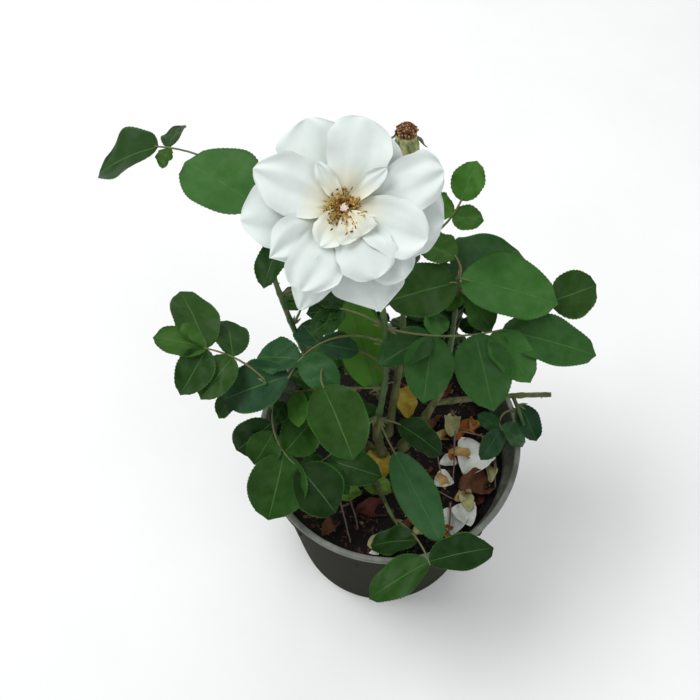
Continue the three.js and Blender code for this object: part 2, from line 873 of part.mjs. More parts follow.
// Each shoot takes its leaves in turn, and a leaf's seed is its number. A leaf whose stalk touches what
// stands already is left off whole, and so is a single leaflet that does, or that strays.
let leafCount = 0;
Object.entries(LEAVES).forEach(([name, rows], i) => {
  const otherStems = Object.keys(stems).filter((key) => key !== name);
  const others = [...standing, ...otherStems.map((key) => stems[key])];
  const own = [];
  let mass = stems[name];
  const filling = FILL[name] ? fillRows(FILL[name], FILL_SEED + i) : [];
  for (const row of [...rows, ...filling]) {
    leafCount += 1;
    const { stalk, leaflets } = leafSolids(name, row, leafCount);
    if (touches(stalk, others)) continue;
    const kept = leaflets.filter((body) => !strays(name, body) && !touches(body, [...others, ...own]));
    own.push(...kept);
    for (const body of [stalk, ...kept]) mass = mass.add(body);
  }
  standing.push(...own);
  stems[name] = sound(mass);
  place(name, stems[name], FOLIAGE);
});

export default plant;
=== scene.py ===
"""The looks of a potted rose bush: nursery pot, soil and litter, canes, leafy shoots, an open bloom and a
spent one.

The plan is in millimetres and degrees, and MM turns it into metres where a mesh is made. +Z is up, -Y is
the front. A heading turns from +X towards +Y, and a climb rises from the horizontal.
"""

import functools
import math

import bpy
import numpy as np
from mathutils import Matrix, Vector, noise


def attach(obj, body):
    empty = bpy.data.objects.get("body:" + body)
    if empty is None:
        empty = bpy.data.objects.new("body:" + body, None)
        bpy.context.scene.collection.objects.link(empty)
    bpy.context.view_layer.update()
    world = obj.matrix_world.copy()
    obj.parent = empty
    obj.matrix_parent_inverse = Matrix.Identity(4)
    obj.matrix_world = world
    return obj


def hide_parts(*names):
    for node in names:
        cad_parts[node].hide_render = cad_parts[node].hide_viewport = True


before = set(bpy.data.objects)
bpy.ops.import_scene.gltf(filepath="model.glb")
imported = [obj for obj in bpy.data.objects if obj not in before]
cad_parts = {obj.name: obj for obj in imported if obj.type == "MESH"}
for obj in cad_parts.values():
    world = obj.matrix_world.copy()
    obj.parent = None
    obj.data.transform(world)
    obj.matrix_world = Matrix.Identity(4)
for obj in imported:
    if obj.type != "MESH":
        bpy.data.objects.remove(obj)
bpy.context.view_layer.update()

MM = 0.001

# ---- Sizes of the pot and soil ----

POT_HEIGHT = 185
FOOT_RADIUS = 78
SHOULDER_RADIUS = 94
BAND_RADIUS = 98
RIM_RADIUS = 100
LIP_WIDTH = 4.4
LIP_ROUND = 1.2
BAND_HEIGHT = 20
BAND_FOOT = POT_HEIGHT - BAND_HEIGHT
FOOT_ROUND = 2
BAND_ROUND = 1
BAND_EDGE = BAND_RADIUS - BAND_ROUND
WALL = 2.2
FLOOR = 3
RIB_COUNT = 12
RIB_WIDTH = 3
RIB_HEIGHT = 16
DRAIN_COUNT = 4
DRAIN_RADIUS = 6
DRAIN_RING = 52
DRAIN_SIDES = 32
POT_SEGMENTS = 192
CLEARANCE = 0.3

SOIL_TOP = 158
SOIL_EDGE = 153
SOIL_DISC = 42
SOIL_SEGMENTS = 160
SOIL_RINGS = 60
SOIL_LUMPS = ((14, 1.6), (5, 0.9), (2, 0.45))  # size and height of its unevenness

# ---- The plant's plan, as in the part's source ----


def limb(heading, climb, length, radius, **start):
    """A limb's plan. It starts at a foot, at a place on its source, or beyond its source's tip."""
    return {"heading": heading, "climb": climb, "length": length, "radius": radius, **start}


CANES = {
    "cane_main": limb((180, 180), (80, 88), 64, (4.2, 3), foot=(-4, -8)),
    "cane_left": limb((150, 162), (58, 68), 83, (3.6, 2.6), foot=(-16, 0)),
    "cane_right": limb((30, 42), (58, 68), 76, (3.6, 2.6), foot=(12, 2)),
    "cane_back": limb((70, 82), (66, 74), 98, (3.4, 2.4), foot=(0, 14)),
    "cane_front": limb((-80, -70), (44, 30), 30, (3, 2), foot=(-12, -24)),
    "stub_right": limb((2, -10), (14, 20), 87, (2.4, 1.8), source="cane_right", at=0.7),
}
ROOT_FLARE = 1.5
FLARE_HEIGHT = 9

SHOOTS = {
    "flower_shoot": limb((53, 167), (75, 73), 190, (2.4, 1.7), source="cane_main"),
    "left_high": limb((133, 140), (57, 91), 179, (2.2, 1.4), source="cane_left"),
    "left_low": limb((-160, -160), (54, 54), 84, (1.9, 1.3), source="cane_left", at=0.7),
    "right_high": limb((84, 84), (72, 72), 97, (2.1, 1.4), source="cane_right"),
    "right_low": limb((-75, -75), (5, -15), 24, (1.5, 1.2), source="stub_right", at=0.68),
    "front_shoot": limb((-70, -60), (10, -10), 22, (1.7, 1.3), source="cane_front"),
    "back_high": limb((97, 97), (76, 76), 140, (2.1, 1.5), source="cane_back"),
    "back_mid": limb((130, 150), (55, 62), 120, (1.8, 1.2), source="cane_back", at=0.7),
    "back_right": limb((40, 30), (40, 50), 80, (1.7, 1.2), source="cane_back", at=0.55),
}

LEAF_SINK = 2.5
LEAF_SHAPE = dict(width=0.62, curl=22, fold=0.22, roll=0, tint=None)
LEAF_DROOP = 8
LEAF_CHANCE = dict(turn=5, length=0.06, droop=6, roll=12)
PAIRS = ((0.8, 0.85), (0.48, 0.75))
PAIR_TURN = 68
FILL_BEND = 30
FILL_FALL = 25


def leaf(at, heading, climb, reach, *leaflets, **shape):
    """A row of the plan. Each leaflet is its place, turn and length, and its width where that is its own."""
    return {**LEAF_SHAPE, "at": at, "heading": heading, "climb": climb, "reach": reach,
            "leaflets": leaflets, **shape}


LEAVES = {
    "flower_shoot": [
        # This leaf's tint carries painted light against the bloom's shadow.
        leaf(0.16, (170, 112), (25, 50), 11, (1, 0, 64), width=0.56, tint="bright_with_painted_light"),
        leaf(0.03, (-70, -60), (-10, -10), 30, (1, 0, 69), width=0.4, curl=10, tint="blue_with_painted_reflection"),
        leaf(0.02, (10, -25), (-25, -5), 18, (1, 0, 38), tint="deep"),
        leaf(0.28, (115, 295), (20, 5), 74, (1, 0, 49), width=0.75, tint="mid"),
        leaf(0.2, (180, 180), (5, -15), 62, (1, 85, 22), (0.8, 55, 19), (0.8, -60, 23), tint="fresh"),
        leaf(0.42, (145, 245), (0, -25), 79, (1, -54, 58, 0.62), (0.8, -55, 34), (0.8, 100, 29),
             (0.6, -84, 27), (0.6, 150, 26), width=0.75, tint="blue_with_painted_reflection"),
        leaf(0.5, (-5, 10), (-20, 10), 81, (1, -25, 67, 0.5), (0.9, -70, 40), (0.75, -90, 50),
             (0.4, -100, 44), (0.4, -150, 38), (0.4, 75, 24), width=0.7, tint="painted_sheen"),
        leaf(0.5, (155, 175), (30, 10), 33, (1, 10, 22), (0.9, 45, 26), (0.95, -25, 23), tint="deep"),
        leaf(0.05, (220, 205), (-20, -30), 54, (1, 130, 42), (1, -10, 26), (1, 85, 28), tint="deep"),
    ],
    "left_high": [
        leaf(0.94, (95, 145), (50, 25), 5, (1, -4, 52), width=0.88, tint="painted_sheen"),
        leaf(0.95, (108, 172), (-5, -5), 94, (1, 13, 46), (0.9, 80, 12), (0.9, -80, 33, 0.42),
             width=0.85, tint="mid"),
        leaf(0.8, (10, -60), (10, 0), 14, (1, -45, 28), tint="deep"),
    ],
    "left_low": [
        leaf(0.95, (130, 180), (9, 20), 52, (1, -8, 36), (1, -72, 55, 0.56), (1, 65, 33), (0.6, -65, 34),
             (0.6, 75, 32), width=0.7, tint="mid"),
        leaf(0.85, (-120, -25), (-50, -20), 66, (1, -15, 42), (0.75, -50, 47), (0.75, 100, 32),
             (0.5, -45, 26), (0.4, -55, 34), (0.4, 135, 15), width=0.85, tint="deep"),
        leaf(0.72, (110, 230), (5, -15), 42, (1, 0, 29), tint="deep"),
    ],
    "right_high": [
        leaf(1, (-75, -17), (45, 17), 4, (1, 0, 63), width=0.72, roll=14, tint="painted_sheen"),
        leaf(0.84, (110, 62), (8, -2), 17, (1, -24, 60), width=0.78, tint="painted_sheen"),
        leaf(0.95, (145, 195), (5, 5), 4, (1, 0, 45), width=0.75, roll=-20, tint="mid"),
        leaf(0.97, (70, 135), (35, 20), 19, (1, 15, 30), width=0.85, tint="mid"),
        leaf(0.8, (-15, 10), (-5, 13), 65, (1, 0, 34), width=0.95, roll=30, tint="mid"),
        leaf(0.88, (180, -135), (5, -10), 19, (1, 0, 17), tint="fresh"),
        leaf(0.9, (-25, -45), (10, -20), 7, (1, 0, 32), width=0.75, tint="fresh"),
    ],
    "right_low": [
        leaf(0.3, (-20, -60), (20, -10), 5, (1, 0, 26), tint="blue_with_painted_reflection"),
        leaf(0.6, (-235, -45), (-20, -25), 27, (1, 35, 29), (1, -70, 25), (0.9, -145, 18), tint="blue_with_painted_reflection"),
    ],
    "front_shoot": [
        leaf(0.9, (-45, -75), (48, 5), 54, (1, 95, 51), (1, -80, 47), (0.6, -125, 39), width=0.55,
             tint="deep"),
    ],
    "back_high": [
        leaf(0.62, (-25, 60), (35, 50), 54, (1, 5, 25), (0.75, -55, 18), (0.8, 100, 20), width=0.8,
             tint="fresh"),
    ],
    "back_mid": [],
    "back_right": [],
}

# Filling leaves of each mass: their count, the arc of their headings, their size and their places.
FILL_SPAN = (0.25, 0.95)
FILL = {
    "back_mid": (4, (20, 200), 34, FILL_SPAN),
    "back_right": (3, (-20, 130), 32, FILL_SPAN),
    "back_high": (3, (100, 160), 30, FILL_SPAN),
    "left_high": (2, (0, 80), 30, FILL_SPAN),
    "right_high": (2, (20, 120), 28, (0.1, 0.6)),
}
GOLDEN_TURN = 137.5
FILL_REACH = (26, 40)
FILL_CLIMB = (5, 35)
FILL_SEED = 100

# Finer leaves inside the crown, by the same rule.
FINER_SPAN = (0.04, 0.6)
FINER = {
    "flower_shoot": (7, (90, 250), 24, FINER_SPAN),
    "left_low": (6, (-60, 140), 25, FINER_SPAN),
    "left_high": (4, (-40, 100), 24, FINER_SPAN),
    "right_high": (5, (60, 280), 24, FINER_SPAN),
    "back_mid": (6, (-20, 240), 25, FINER_SPAN),
    "back_right": (5, (-60, 160), 24, FINER_SPAN),
    "back_high": (4, (40, 200), 24, FINER_SPAN),
}
FINER_SEED = 200
CROWDING = 5  # a filling leaflet keeps this far from what grows already
OPEN_SIDE = (-90, 60)  # heading and climb of the side from which a finer leaflet covers nothing
COVER = 9  # how near it may come to what lies behind it, seen from there

# ---- Numbers, directions and paths ----

rad = math.radians
UP = np.array([0.0, 0, 1])


class Dice:
    """Numbers that are the same for the same seed."""

    def __init__(self, seed):
        self.state = seed * 7919 + 17

    def __call__(self, low=0.0, high=1.0):
        self.state = (self.state * 1664525 + 1013904223) % 2**32
        return low + (high - low) * self.state / 2**32


def mix(pair, t):
    return pair[0] + (pair[1] - pair[0]) * t


def direction(heading, climb):
    level = math.cos(rad(climb))
    return np.array([level * math.cos(rad(heading)), level * math.sin(rad(heading)), math.sin(rad(climb))])


def turned(vector, axis, angle):
    """A vector turned about a unit axis by the right-hand rule."""
    c = math.cos(rad(angle))
    s = math.sin(rad(angle))
    return vector * c + np.cross(axis, vector) * s + axis * (axis @ vector) * (1 - c)


def unit(vector):
    return vector / np.linalg.norm(vector)


def raised(out, axis, lift):
    """The length and the upper side of a blade that points out from an axis, tilted up towards it."""
    hinge = np.cross(out, axis)
    return turned(out, hinge, lift), turned(axis, hinge, lift)


def circle(count, shift=0.0):
    """Points round a level circle of radius 1."""
    turn = 2 * np.pi * (np.arange(count) + shift) / count
    return np.stack([np.cos(turn), np.sin(turn), np.zeros(count)], 1)


def limb_path(start, heading, climb, length, steps):
    """The centre line of a limb that turns evenly from its first heading and climb to its last."""
    points = [np.array(start, float)]
    for i in range(steps):
        t = (i + 0.5) / steps
        points.append(points[i] + direction(mix(heading, t), mix(climb, t)) * length / steps)
    return np.array(points)


def point_at(points, t):
    place = t * (len(points) - 1)
    i = min(int(place), len(points) - 2)
    return points[i] + (points[i + 1] - points[i]) * (place - i)


def roughly(points, size, seed=0):
    """Smooth noise from -1 to 1 at each point, with features of a size in millimetres."""
    offset = Vector((seed * 17.3, seed * 7.1, seed * 3.7))
    return np.array([noise.noise(Vector(p) / size + offset) for p in points])


def waves(chance, *runs):
    """Waves over a surface. Each run is the places along it and the fewest and most waves there."""
    return np.sin(2 * np.pi * (sum(place * chance(few, many) for place, few, many in runs) + chance()))


# ---- Closed skins ----


class Heap:
    """Shells that are joined into one mesh, with a number for the material of each face."""

    def __init__(self):
        self.points = []
        self.faces = []
        self.looks = []
        self.count = 0

    def add(self, points, faces, looks=0):
        self.points.append(points)
        self.faces += [tuple(i + self.count for i in face) for face in faces]
        self.looks += [looks] * len(faces) if np.isscalar(looks) else list(looks)
        self.count += len(points)

    def skin(self, rings, looks=0):
        self.add(np.concatenate(rings), skin_faces(tuple(len(ring) for ring in rings)), looks)


@functools.lru_cache(maxsize=None)
def skin_faces(sizes):
    """Faces that join rings of points into a closed skin. A ring of one point is a tip.

    The far half's faces start at their second corner, so that the two skins of a thin sheet are split along
    the same diagonals and don't cross.
    """
    starts = [sum(sizes[:r]) for r in range(len(sizes))]
    faces = []
    for r in range(len(sizes) - 1):
        sides = max(sizes[r], sizes[r + 1])
        low = [starts[r] + (i if sizes[r] > 1 else 0) for i in range(sides)]
        high = [starts[r + 1] + (i if sizes[r + 1] > 1 else 0) for i in range(sides)]
        for i in range(sides):
            j = (i + 1) % sides
            face = tuple(dict.fromkeys((low[i], low[j], high[j], high[i])))
            faces.append(face if i < sides / 2 else face[1:] + face[:1])
    if sizes[0] > 1:
        faces.append(tuple(reversed(range(sizes[0]))))
    if sizes[-1] > 1:
        faces.append(tuple(range(starts[-1], starts[-1] + sizes[-1])))
    return faces


def tube_rings(points, radii, sides, level=False):
    """Rings round a centre line. With `level`, the first is cut flat and level."""
    points = np.asarray(points, float)
    side = np.array([0.0, 1, 0])
    corners = circle(sides)[:, :2]
    rings = []
    for i, point in enumerate(points):
        along = unit(points[min(i + 1, len(points) - 1)] - points[max(i - 1, 0)])
        side = unit(side - along * (side @ along))
        ring = point + radii[i] * corners @ [side, np.cross(along, side)]
        if level and i == 0:
            ring += np.outer((point[2] - ring[:, 2]) / along[2], along)
        rings.append(ring)
    return rings


def tube(heap, points, radii, sides, look=0):
    heap.skin(tube_rings(points, radii, sides), look)


def spindle(heap, start, along, profile, sides, look=0):
    """A round form along a line. Its profile gives distances from the start and radii."""
    tube(heap, [start + along * away for away, _ in profile], [radius for _, radius in profile], sides, look)


def sheet(heap, start, along, up, length, curl, outline, height, columns, thickness, looks):
    """A thin closed sheet on a centre line that bends away from `up` by `curl`.

    `outline` gives each station's half width, and `height` how far each point stands out of the sheet.
    `looks` is one look, or one for each strip of the upper face and then one for the lower face.
    """
    stations = np.linspace(0, 1, len(outline))
    side = np.cross(along, up)
    bend = rad(curl) if abs(curl) > 0.1 else 1e-3
    angle = (bend * stations)[:, None]
    spine = start + length * (along * np.sin(angle) - up * (1 - np.cos(angle))) / bend
    normal = up * np.cos(angle) + along * np.sin(angle)
    across = side * (outline[:, :, None] if outline.ndim == 2 else (outline[:, None] * columns)[:, :, None])
    upper = spine[:, None] + across + normal[:, None] * height[:, :, None]
    depth = thickness * (1 - columns**2)
    lower = upper - normal[:, None] * depth[:, None]
    rings = [spine[:1]]
    for k in range(1, len(stations) - 1):
        rings.append(np.concatenate([upper[k], lower[k, -2:0:-1]]))
    rings.append(upper[-1, len(columns) // 2][None])
    if not np.isscalar(looks):
        strips = len(columns) - 1
        looks = (looks[:strips] + looks[strips:] * strips) * (len(stations) - 1)
    heap.skin(rings, looks)


# ---- Pieces ----

SHARP_ANGLE = 75  # where faces meet more sharply than this, the shading breaks


def placed(name, data):
    """A new object of the scene."""
    made = bpy.data.objects.new(name, data)
    bpy.context.scene.collection.objects.link(made)
    return made


def mesh_of(name, heap, materials):
    mesh = bpy.data.meshes.new(name)
    mesh.from_pydata((np.concatenate(heap.points) * MM).tolist(), [], heap.faces)
    for look in materials:
        mesh.materials.append(look)
    mesh.polygons.foreach_set("material_index", heap.looks)
    return mesh


def piece(name, heap, materials, slot, *nodes):
    """Makes a smooth mesh of a heap, gives it its materials and ties it to the part."""
    mesh = mesh_of(name, heap, materials)
    mesh.polygons.foreach_set("use_smooth", [True] * len(mesh.polygons))
    mesh.set_sharp_from_angle(angle=rad(SHARP_ANGLE))
    made = placed(name, mesh)
    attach(made, "root")
    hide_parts(*nodes)
    return made


# ---- Materials ----


def colour(code):
    """A linear colour from a hex code of six digits."""
    parts = [int(code[i:i + 2], 16) / 255 for i in (0, 2, 4)]
    return tuple(p / 12.92 if p <= 0.04045 else ((p + 0.055) / 1.055) ** 2.4 for p in parts) + (1,)


def set_inputs(node, **values):
    """Sets a node's inputs. An underscore stands for the space in an input's name."""
    for socket, value in values.items():
        node.inputs[socket.replace("_", " ")].default_value = value


def add_node(tree, kind, **values):
    node = tree.nodes.new(f"ShaderNode{kind}")
    set_inputs(node, **values)
    return node


NOISE_SPAN = (0.34, 0.66)  # the part of the noise that takes a material from its first colour to its last


def material(name, colours, grain, roughness, bump=0.0, fine=None, stretch=(1, 1, 1), swing=0.06, **sockets):
    """A material whose colour wanders between hex codes.

    `grain` is the size of the wandering in millimetres, `fine` that of the bump, and `bump` its height.
    """
    made = bpy.data.materials.new(name)
    made.use_nodes = True
    tree = made.node_tree
    link = tree.links.new
    shader = tree.nodes["Principled BSDF"]
    place = add_node(tree, "TexCoord")
    shape = add_node(tree, "Mapping", Scale=stretch)
    link(place.outputs["Object"], shape.inputs["Vector"])
    wander = add_node(tree, "TexNoise", Scale=1 / (grain * MM), Detail=5, Roughness=0.6)
    link(shape.outputs["Vector"], wander.inputs["Vector"])
    ramp = add_node(tree, "ValToRGB")
    stops = ramp.color_ramp.elements
    while len(stops) < len(colours):
        stops.new(0.5)
    for i, code in enumerate(colours):
        stops[i].position = mix(NOISE_SPAN, i / max(len(colours) - 1, 1))
        stops[i].color = colour(code)
    link(wander.outputs["Fac"], ramp.inputs["Fac"])
    link(ramp.outputs["Color"], shader.inputs["Base Color"])
    span = add_node(tree, "MapRange", From_Min=0.3, From_Max=0.7, To_Min=roughness - swing,
                    To_Max=roughness + swing)
    link(wander.outputs["Fac"], span.inputs["Value"])
    link(span.outputs["Result"], shader.inputs["Roughness"])
    if bump:
        relief = add_node(tree, "TexNoise", Scale=1 / (fine * MM), Detail=4)
        link(shape.outputs["Vector"], relief.inputs["Vector"])
        height = add_node(tree, "Bump", Distance=bump * MM)
        link(relief.outputs["Fac"], height.inputs["Height"])
        link(height.outputs["Normal"], shader.inputs["Normal"])
    set_inputs(shader, **sockets)
    return made


def materials(grain, roughness, bump, fine, **colours):
    """Materials that are alike but for their names and colours."""
    return [material(name, codes, grain, roughness, bump=bump, fine=fine) for name, codes in colours.items()]


POT_PLASTIC = material("pot_plastic", ["14160b", "1e2012", "292817"], 30, 0.7, bump=0.12, fine=1.2,
                       Specular_IOR_Level=0.05)
# Painted highlight: the rim's lip is coloured lighter than the pot's plastic for the light its rounded top
# catches.
LIP_PLASTIC_PAINTED_HIGHLIGHT = material("lip_plastic_painted_highlight", ["51554c", "62665d", "787c73"], 14, 0.5, bump=0.15, fine=0.9)
# Painted light: the inner wall is the same dark plastic as the outside, coloured lighter grey with upright
# streaks for the light that falls down inside the pot.
INNER_PLASTIC_PAINTED_LIGHT = material("inner_plastic_painted_light", ["32362d", "464a40", "5e6256"], 9, 0.75, bump=0.1, fine=1.2,
                         stretch=(1, 1, 0.25))
SOIL_LOOK = material("soil", ["080605", "100a08", "1e1410"], 4, 0.95, bump=0.8, fine=1.5)
BARK_LOOK = material("bark", ["434a29", "5f673a", "74764a"], 5, 0.65, bump=0.3, fine=1.2,
                     stretch=(1, 1, 0.3))
SHOOT_LOOK = material("green_bark", ["2a451f", "3d5a28", "566635"], 9, 0.5, bump=0.08, fine=1,
                      stretch=(1, 1, 0.4))
STALK_LOOK = material("leaf_stalk", ["43592a", "5a6334", "6b5638"], 7, 0.55, bump=0.05, fine=0.8)
THORN_LOOK = material("thorn", ["583826", "704730"], 3, 0.55, bump=0.05, fine=0.6)

# Shades for each tint of leaf; every leaflet gets one of them.
LEAF_TINTS = {
    "deep": ("122c09", "17350b", "1e400f"),
    "mid": ("1a380f", "213f10", "2a4d14"),
    # Painted reflection: a bluer green, partly the leaves' own hue and partly standing in for the sky's
    # bluish sheen on their gloss.
    "blue_with_painted_reflection": ("1a3a20", "214524", "295029"),
    # Painted sheen: a lighter, bluer green that stands in for the whitish gloss on leaves that face the
    # light.
    "painted_sheen": ("1e4118", "254c1c", "2f5a22"),
    "fresh": ("285013", "315d18", "3b691e"),
    # Painted light: a yellow-green, lightened past the leaf's own colour to make up for the shadow the bloom
    # casts on the leaf that takes it.
    "bright_with_painted_light": ("3a6c19", "42741d", "4a7e22"),
}
TINT_NAMES = tuple(LEAF_TINTS)
SHADES = 3
LEAF_GLOSS = dict(Specular_IOR_Level=0.09)


def lighter(code, part):
    """A hex code moved towards white by a part of the way."""
    return "".join(f"{round(mix((int(code[i:i + 2], 16), 255), part)):02x}" for i in (0, 2, 4))


LEAF_LOOKS = [
    *(material(f"leaf_{name}_{shade + 1}", [code, lighter(code, 0.06)], 9, 0.45, bump=0.09, fine=2.6,
               **LEAF_GLOSS)
      for name, codes in LEAF_TINTS.items() for shade, code in enumerate(codes)),
    material("leaf_rib", ["395c2e", "466a3a"], 6, 0.5, bump=0.04, fine=0.8, **LEAF_GLOSS),
    material("leaf_edge", ["28501a", "345c24"], 6, 0.5, bump=0.04, fine=0.8, **LEAF_GLOSS),
    material("leaf_underside", ["3d5836", "4a6641"], 10, 0.6, bump=0.1, fine=1.2, **LEAF_GLOSS),
]
RIB_LOOK, EDGE_LOOK, UNDER_LOOK = range(SHADES * len(TINT_NAMES), SHADES * len(TINT_NAMES) + 3)

# ---- Pot ----


def wall_radius(z):
    return mix((FOOT_RADIUS, SHOULDER_RADIUS), z / BAND_FOOT)


def bed_radius(z):
    """The radius of what fills the pot, clear of its wall."""
    return wall_radius(z) - WALL - CLEARANCE


def revolved(heap, profile, segments, looks):
    """A closed skin round the z axis. The profile starts and ends on the axis."""
    rings = [circle(segments) * radius + [0, 0, z] if radius else np.array([[0.0, 0, z]])
             for radius, z in profile]
    heap.skin(rings, np.repeat(looks, segments))


def arc(centre, radius, start, end, steps):
    """Points of a profile's rounded corner."""
    return [
        (centre[0] + radius * math.cos(rad(a)), centre[1] + radius * math.sin(rad(a)))
        for a in np.linspace(start, end, steps)
    ]


BLOCK_SECTIONS = ((-0.5, 0.8), (-0.42, 0.96), (0, 1), (0.42, 0.96), (0.5, 0.8))  # place and size of each
BLOCK_CORNERS = 24
BLOCK_SQUARENESS = 0.3


def rounded_block(heap, centre, along, across, up, size, look):
    """A block with rounded edges: a stack of rounded rectangles."""
    round_ring = circle(BLOCK_CORNERS, 0.5)[:, :2]
    square_ring = np.sign(round_ring) * np.abs(round_ring) ** BLOCK_SQUARENESS / 2
    rings = [centre + along * depth * size[0] + part * square_ring @ [across * size[1], up * size[2]]
             for depth, part in BLOCK_SECTIONS]
    heap.skin(rings, look)


def pot_profile():
    """The profile from the middle of the underside to the middle of the floor inside, and the look of each
    of its steps: outside, lip and inside."""
    inner = RIM_RADIUS - LIP_WIDTH
    outside = [(0, 0), *arc((FOOT_RADIUS - FOOT_ROUND, FOOT_ROUND), FOOT_ROUND, -90, 0, 5)]
    outside += [(wall_radius(z), z) for z in np.linspace(12, BAND_FOOT, 9)]
    outside += [(BAND_EDGE, BAND_FOOT + 0.2), *arc((BAND_EDGE, BAND_FOOT + 1.2), BAND_ROUND, -60, 10, 4)]
    for t in (0.5, 0.97):
        outside.append((mix((BAND_RADIUS, RIM_RADIUS), t), mix((BAND_FOOT + 2, POT_HEIGHT - 3), t)))
    lip = arc((RIM_RADIUS - LIP_ROUND, POT_HEIGHT - LIP_ROUND), LIP_ROUND, 0, 90, 5)
    lip += arc((inner + LIP_ROUND, POT_HEIGHT - LIP_ROUND), LIP_ROUND, 90, 180, 5)
    inside = [(BAND_EDGE - WALL, BAND_FOOT + WALL), (SHOULDER_RADIUS - WALL, BAND_FOOT)]
    inside += [(wall_radius(z) - WALL, z) for z in (120, 80, 40, FLOOR)] + [(0, FLOOR)]
    return outside + lip + inside, [0] * (len(outside) - 1) + [1] * len(lip) + [2] * len(inside)


def cut_drains(pot):
    drains = Heap()
    for i in range(DRAIN_COUNT):
        centre = DRAIN_RING * direction(360 * i / DRAIN_COUNT, 0)
        tube(drains, [centre - UP * FLOOR, centre + UP * 2 * FLOOR], [DRAIN_RADIUS] * 2, DRAIN_SIDES)
    cutter = piece("drain_cutter", drains, [POT_PLASTIC], "pot")
    cut = pot.modifiers.new("drains", "BOOLEAN")
    cut.object = cutter
    cut.operation = "DIFFERENCE"
    cut.solver = "EXACT"
    done = bpy.data.meshes.new_from_object(pot.evaluated_get(bpy.context.evaluated_depsgraph_get()))
    pot.modifiers.clear()
    pot.data = done
    bpy.data.objects.remove(cutter)


def make_pot():
    shell = Heap()
    profile, looks = pot_profile()
    revolved(shell, profile, POT_SEGMENTS, looks)
    cut_drains(piece("pot_shell", shell, [POT_PLASTIC, LIP_PLASTIC_PAINTED_HIGHLIGHT, INNER_PLASTIC_PAINTED_LIGHT], "pot", "pot"))
    ribs = Heap()
    foot = SHOULDER_RADIUS - WALL + CLEARANCE
    depth = BAND_EDGE - foot
    for i in range(RIB_COUNT):
        out = direction(360 * (i + 0.5) / RIB_COUNT, 0)
        centre = out * (foot + depth / 2) + UP * (BAND_FOOT + 1 - RIB_HEIGHT / 2)
        rounded_block(ribs, centre, out, np.cross(UP, out), UP, (depth, RIB_WIDTH, RIB_HEIGHT), 0)
    piece("pot_ribs", ribs, [POT_PLASTIC], "pot", "pot")


# ---- Soil and litter ----


def soil_height(points):
    """The height of the soil's uneven top at points on the level."""
    away = np.hypot(points[:, 0], points[:, 1])
    edge = bed_radius(SOIL_EDGE)
    slope = np.clip((away - SOIL_DISC) / (edge - SOIL_DISC), 0, 1) ** 1.5
    height = SOIL_TOP - (SOIL_TOP - SOIL_EDGE) * slope
    level = points * [1, 1, 0]
    for seed, (size, rise) in enumerate(SOIL_LUMPS):
        height = height + rise * roughly(level, size, seed)
    return height


def soil_point(x, y, rise=0.0):
    """A point above or on the soil."""
    return np.array([x, y, soil_height(np.array([[x, y, 0.0]]))[0] + rise])


def make_soil():
    edge = bed_radius(SOIL_EDGE)
    low = FLOOR + CLEARANCE
    ring = circle(SOIL_SEGMENTS)
    rings = [UP[None] * low, ring * bed_radius(low) + UP * low, ring * (edge - 0.3) + UP * (SOIL_EDGE - 8)]
    for radius in np.linspace(edge, 0, SOIL_RINGS, endpoint=False):
        rings.append(ring * radius + np.outer(soil_height(ring * radius), UP))
    rings.append(soil_point(0, 0)[None])
    bed = Heap()
    bed.skin(rings)
    piece("soil_bed", bed, [SOIL_LOOK], "soil", "soil")


CHIP_LOOKS = [
    *materials(3, 0.85, 0.3, 0.7, chip_dark=["1c120d", "2c1d15"]),
    *materials(3, 0.8, 0.3, 0.7, chip_brown=["3b2417", "52331f"], chip_red=["4f281a", "6b3a26"],
               chip_tan=["6f5234", "8d6d47"]),
    *materials(2, 0.8, 0.1, 0.5, grit=["8f8f88", "c2c1b8"]),
]
CHIP_SHARES = (0.38, 0.68, 0.84, 0.92, 1)  # of the chips, up to each look
CHIP_COUNT = 1500
CHIP_SIZES = (1.5, 6.5)
GRIT_SIZES = (0.8, 2)
CHIP_SECTIONS = (-0.5, -0.15, 0.2, 0.5)
CHIP_CORNERS = ((1, 0.6), (0.2, 1), (-1, 0.5), (-0.8, -1), (0.7, -1))


def chip(heap, centre, size, look, chance):
    """A rough splinter of bark, or a grain of grit: a jittered closed block."""
    along = direction(chance(0, 360), chance(-25, 25))
    up = unit(np.cross(np.cross(along, UP), along))
    across = np.cross(up, along)
    length = size * chance(0.7, 1.2)
    width = size * chance(0.3, 0.7)
    depth = size * chance(0.15, 0.35)
    rings = []
    for place in CHIP_SECTIONS:
        taper = 1 - 1.2 * place**2
        rings.append(np.array([
            centre + along * length * (place + chance(-0.06, 0.06))
            + across * width * 0.5 * x * taper * chance(0.7, 1.1)
            + up * depth * 0.5 * y * taper * chance(0.7, 1.1)
            for x, y in CHIP_CORNERS
        ]))
    heap.skin(rings, look)


def make_chips():
    chance = Dice(11)
    chips = Heap()
    reach = wall_radius(SOIL_EDGE) - WALL - 5
    for _ in range(CHIP_COUNT):
        radius = reach * math.sqrt(chance())
        flat = radius * direction(chance(0, 360), 0)
        centre = soil_point(flat[0], flat[1], chance(0, 0.8))
        share = chance()
        look = next(i for i, top in enumerate(CHIP_SHARES) if share <= top)
        sizes = GRIT_SIZES if look == len(CHIP_SHARES) - 1 else CHIP_SIZES
        chip(chips, centre, mix(sizes, chance() ** 2), look, chance)
    piece("soil_chips", chips, CHIP_LOOKS, "soil")


# The fallen petals' white runs lighter than the bloom's petals: painted light against the shade they lie in,
# inside the pot.
LITTER_TINTS = {
    "white": ["d2d8cf", "e8ece6"], "tan": ["9c7a44", "c0a064"], "brown": ["4e2c18", "6e4426"],
    "red": ["4e2217", "6e3626"], "yellow": ["a08a28", "c0aa3c"], "lime": ["5f8a30", "7da444"],
    "pale": ["9c9a68", "b7b486"], "orange": ["96541f", "b87430"], "stalk": ["6b534c", "8c736a"],
}
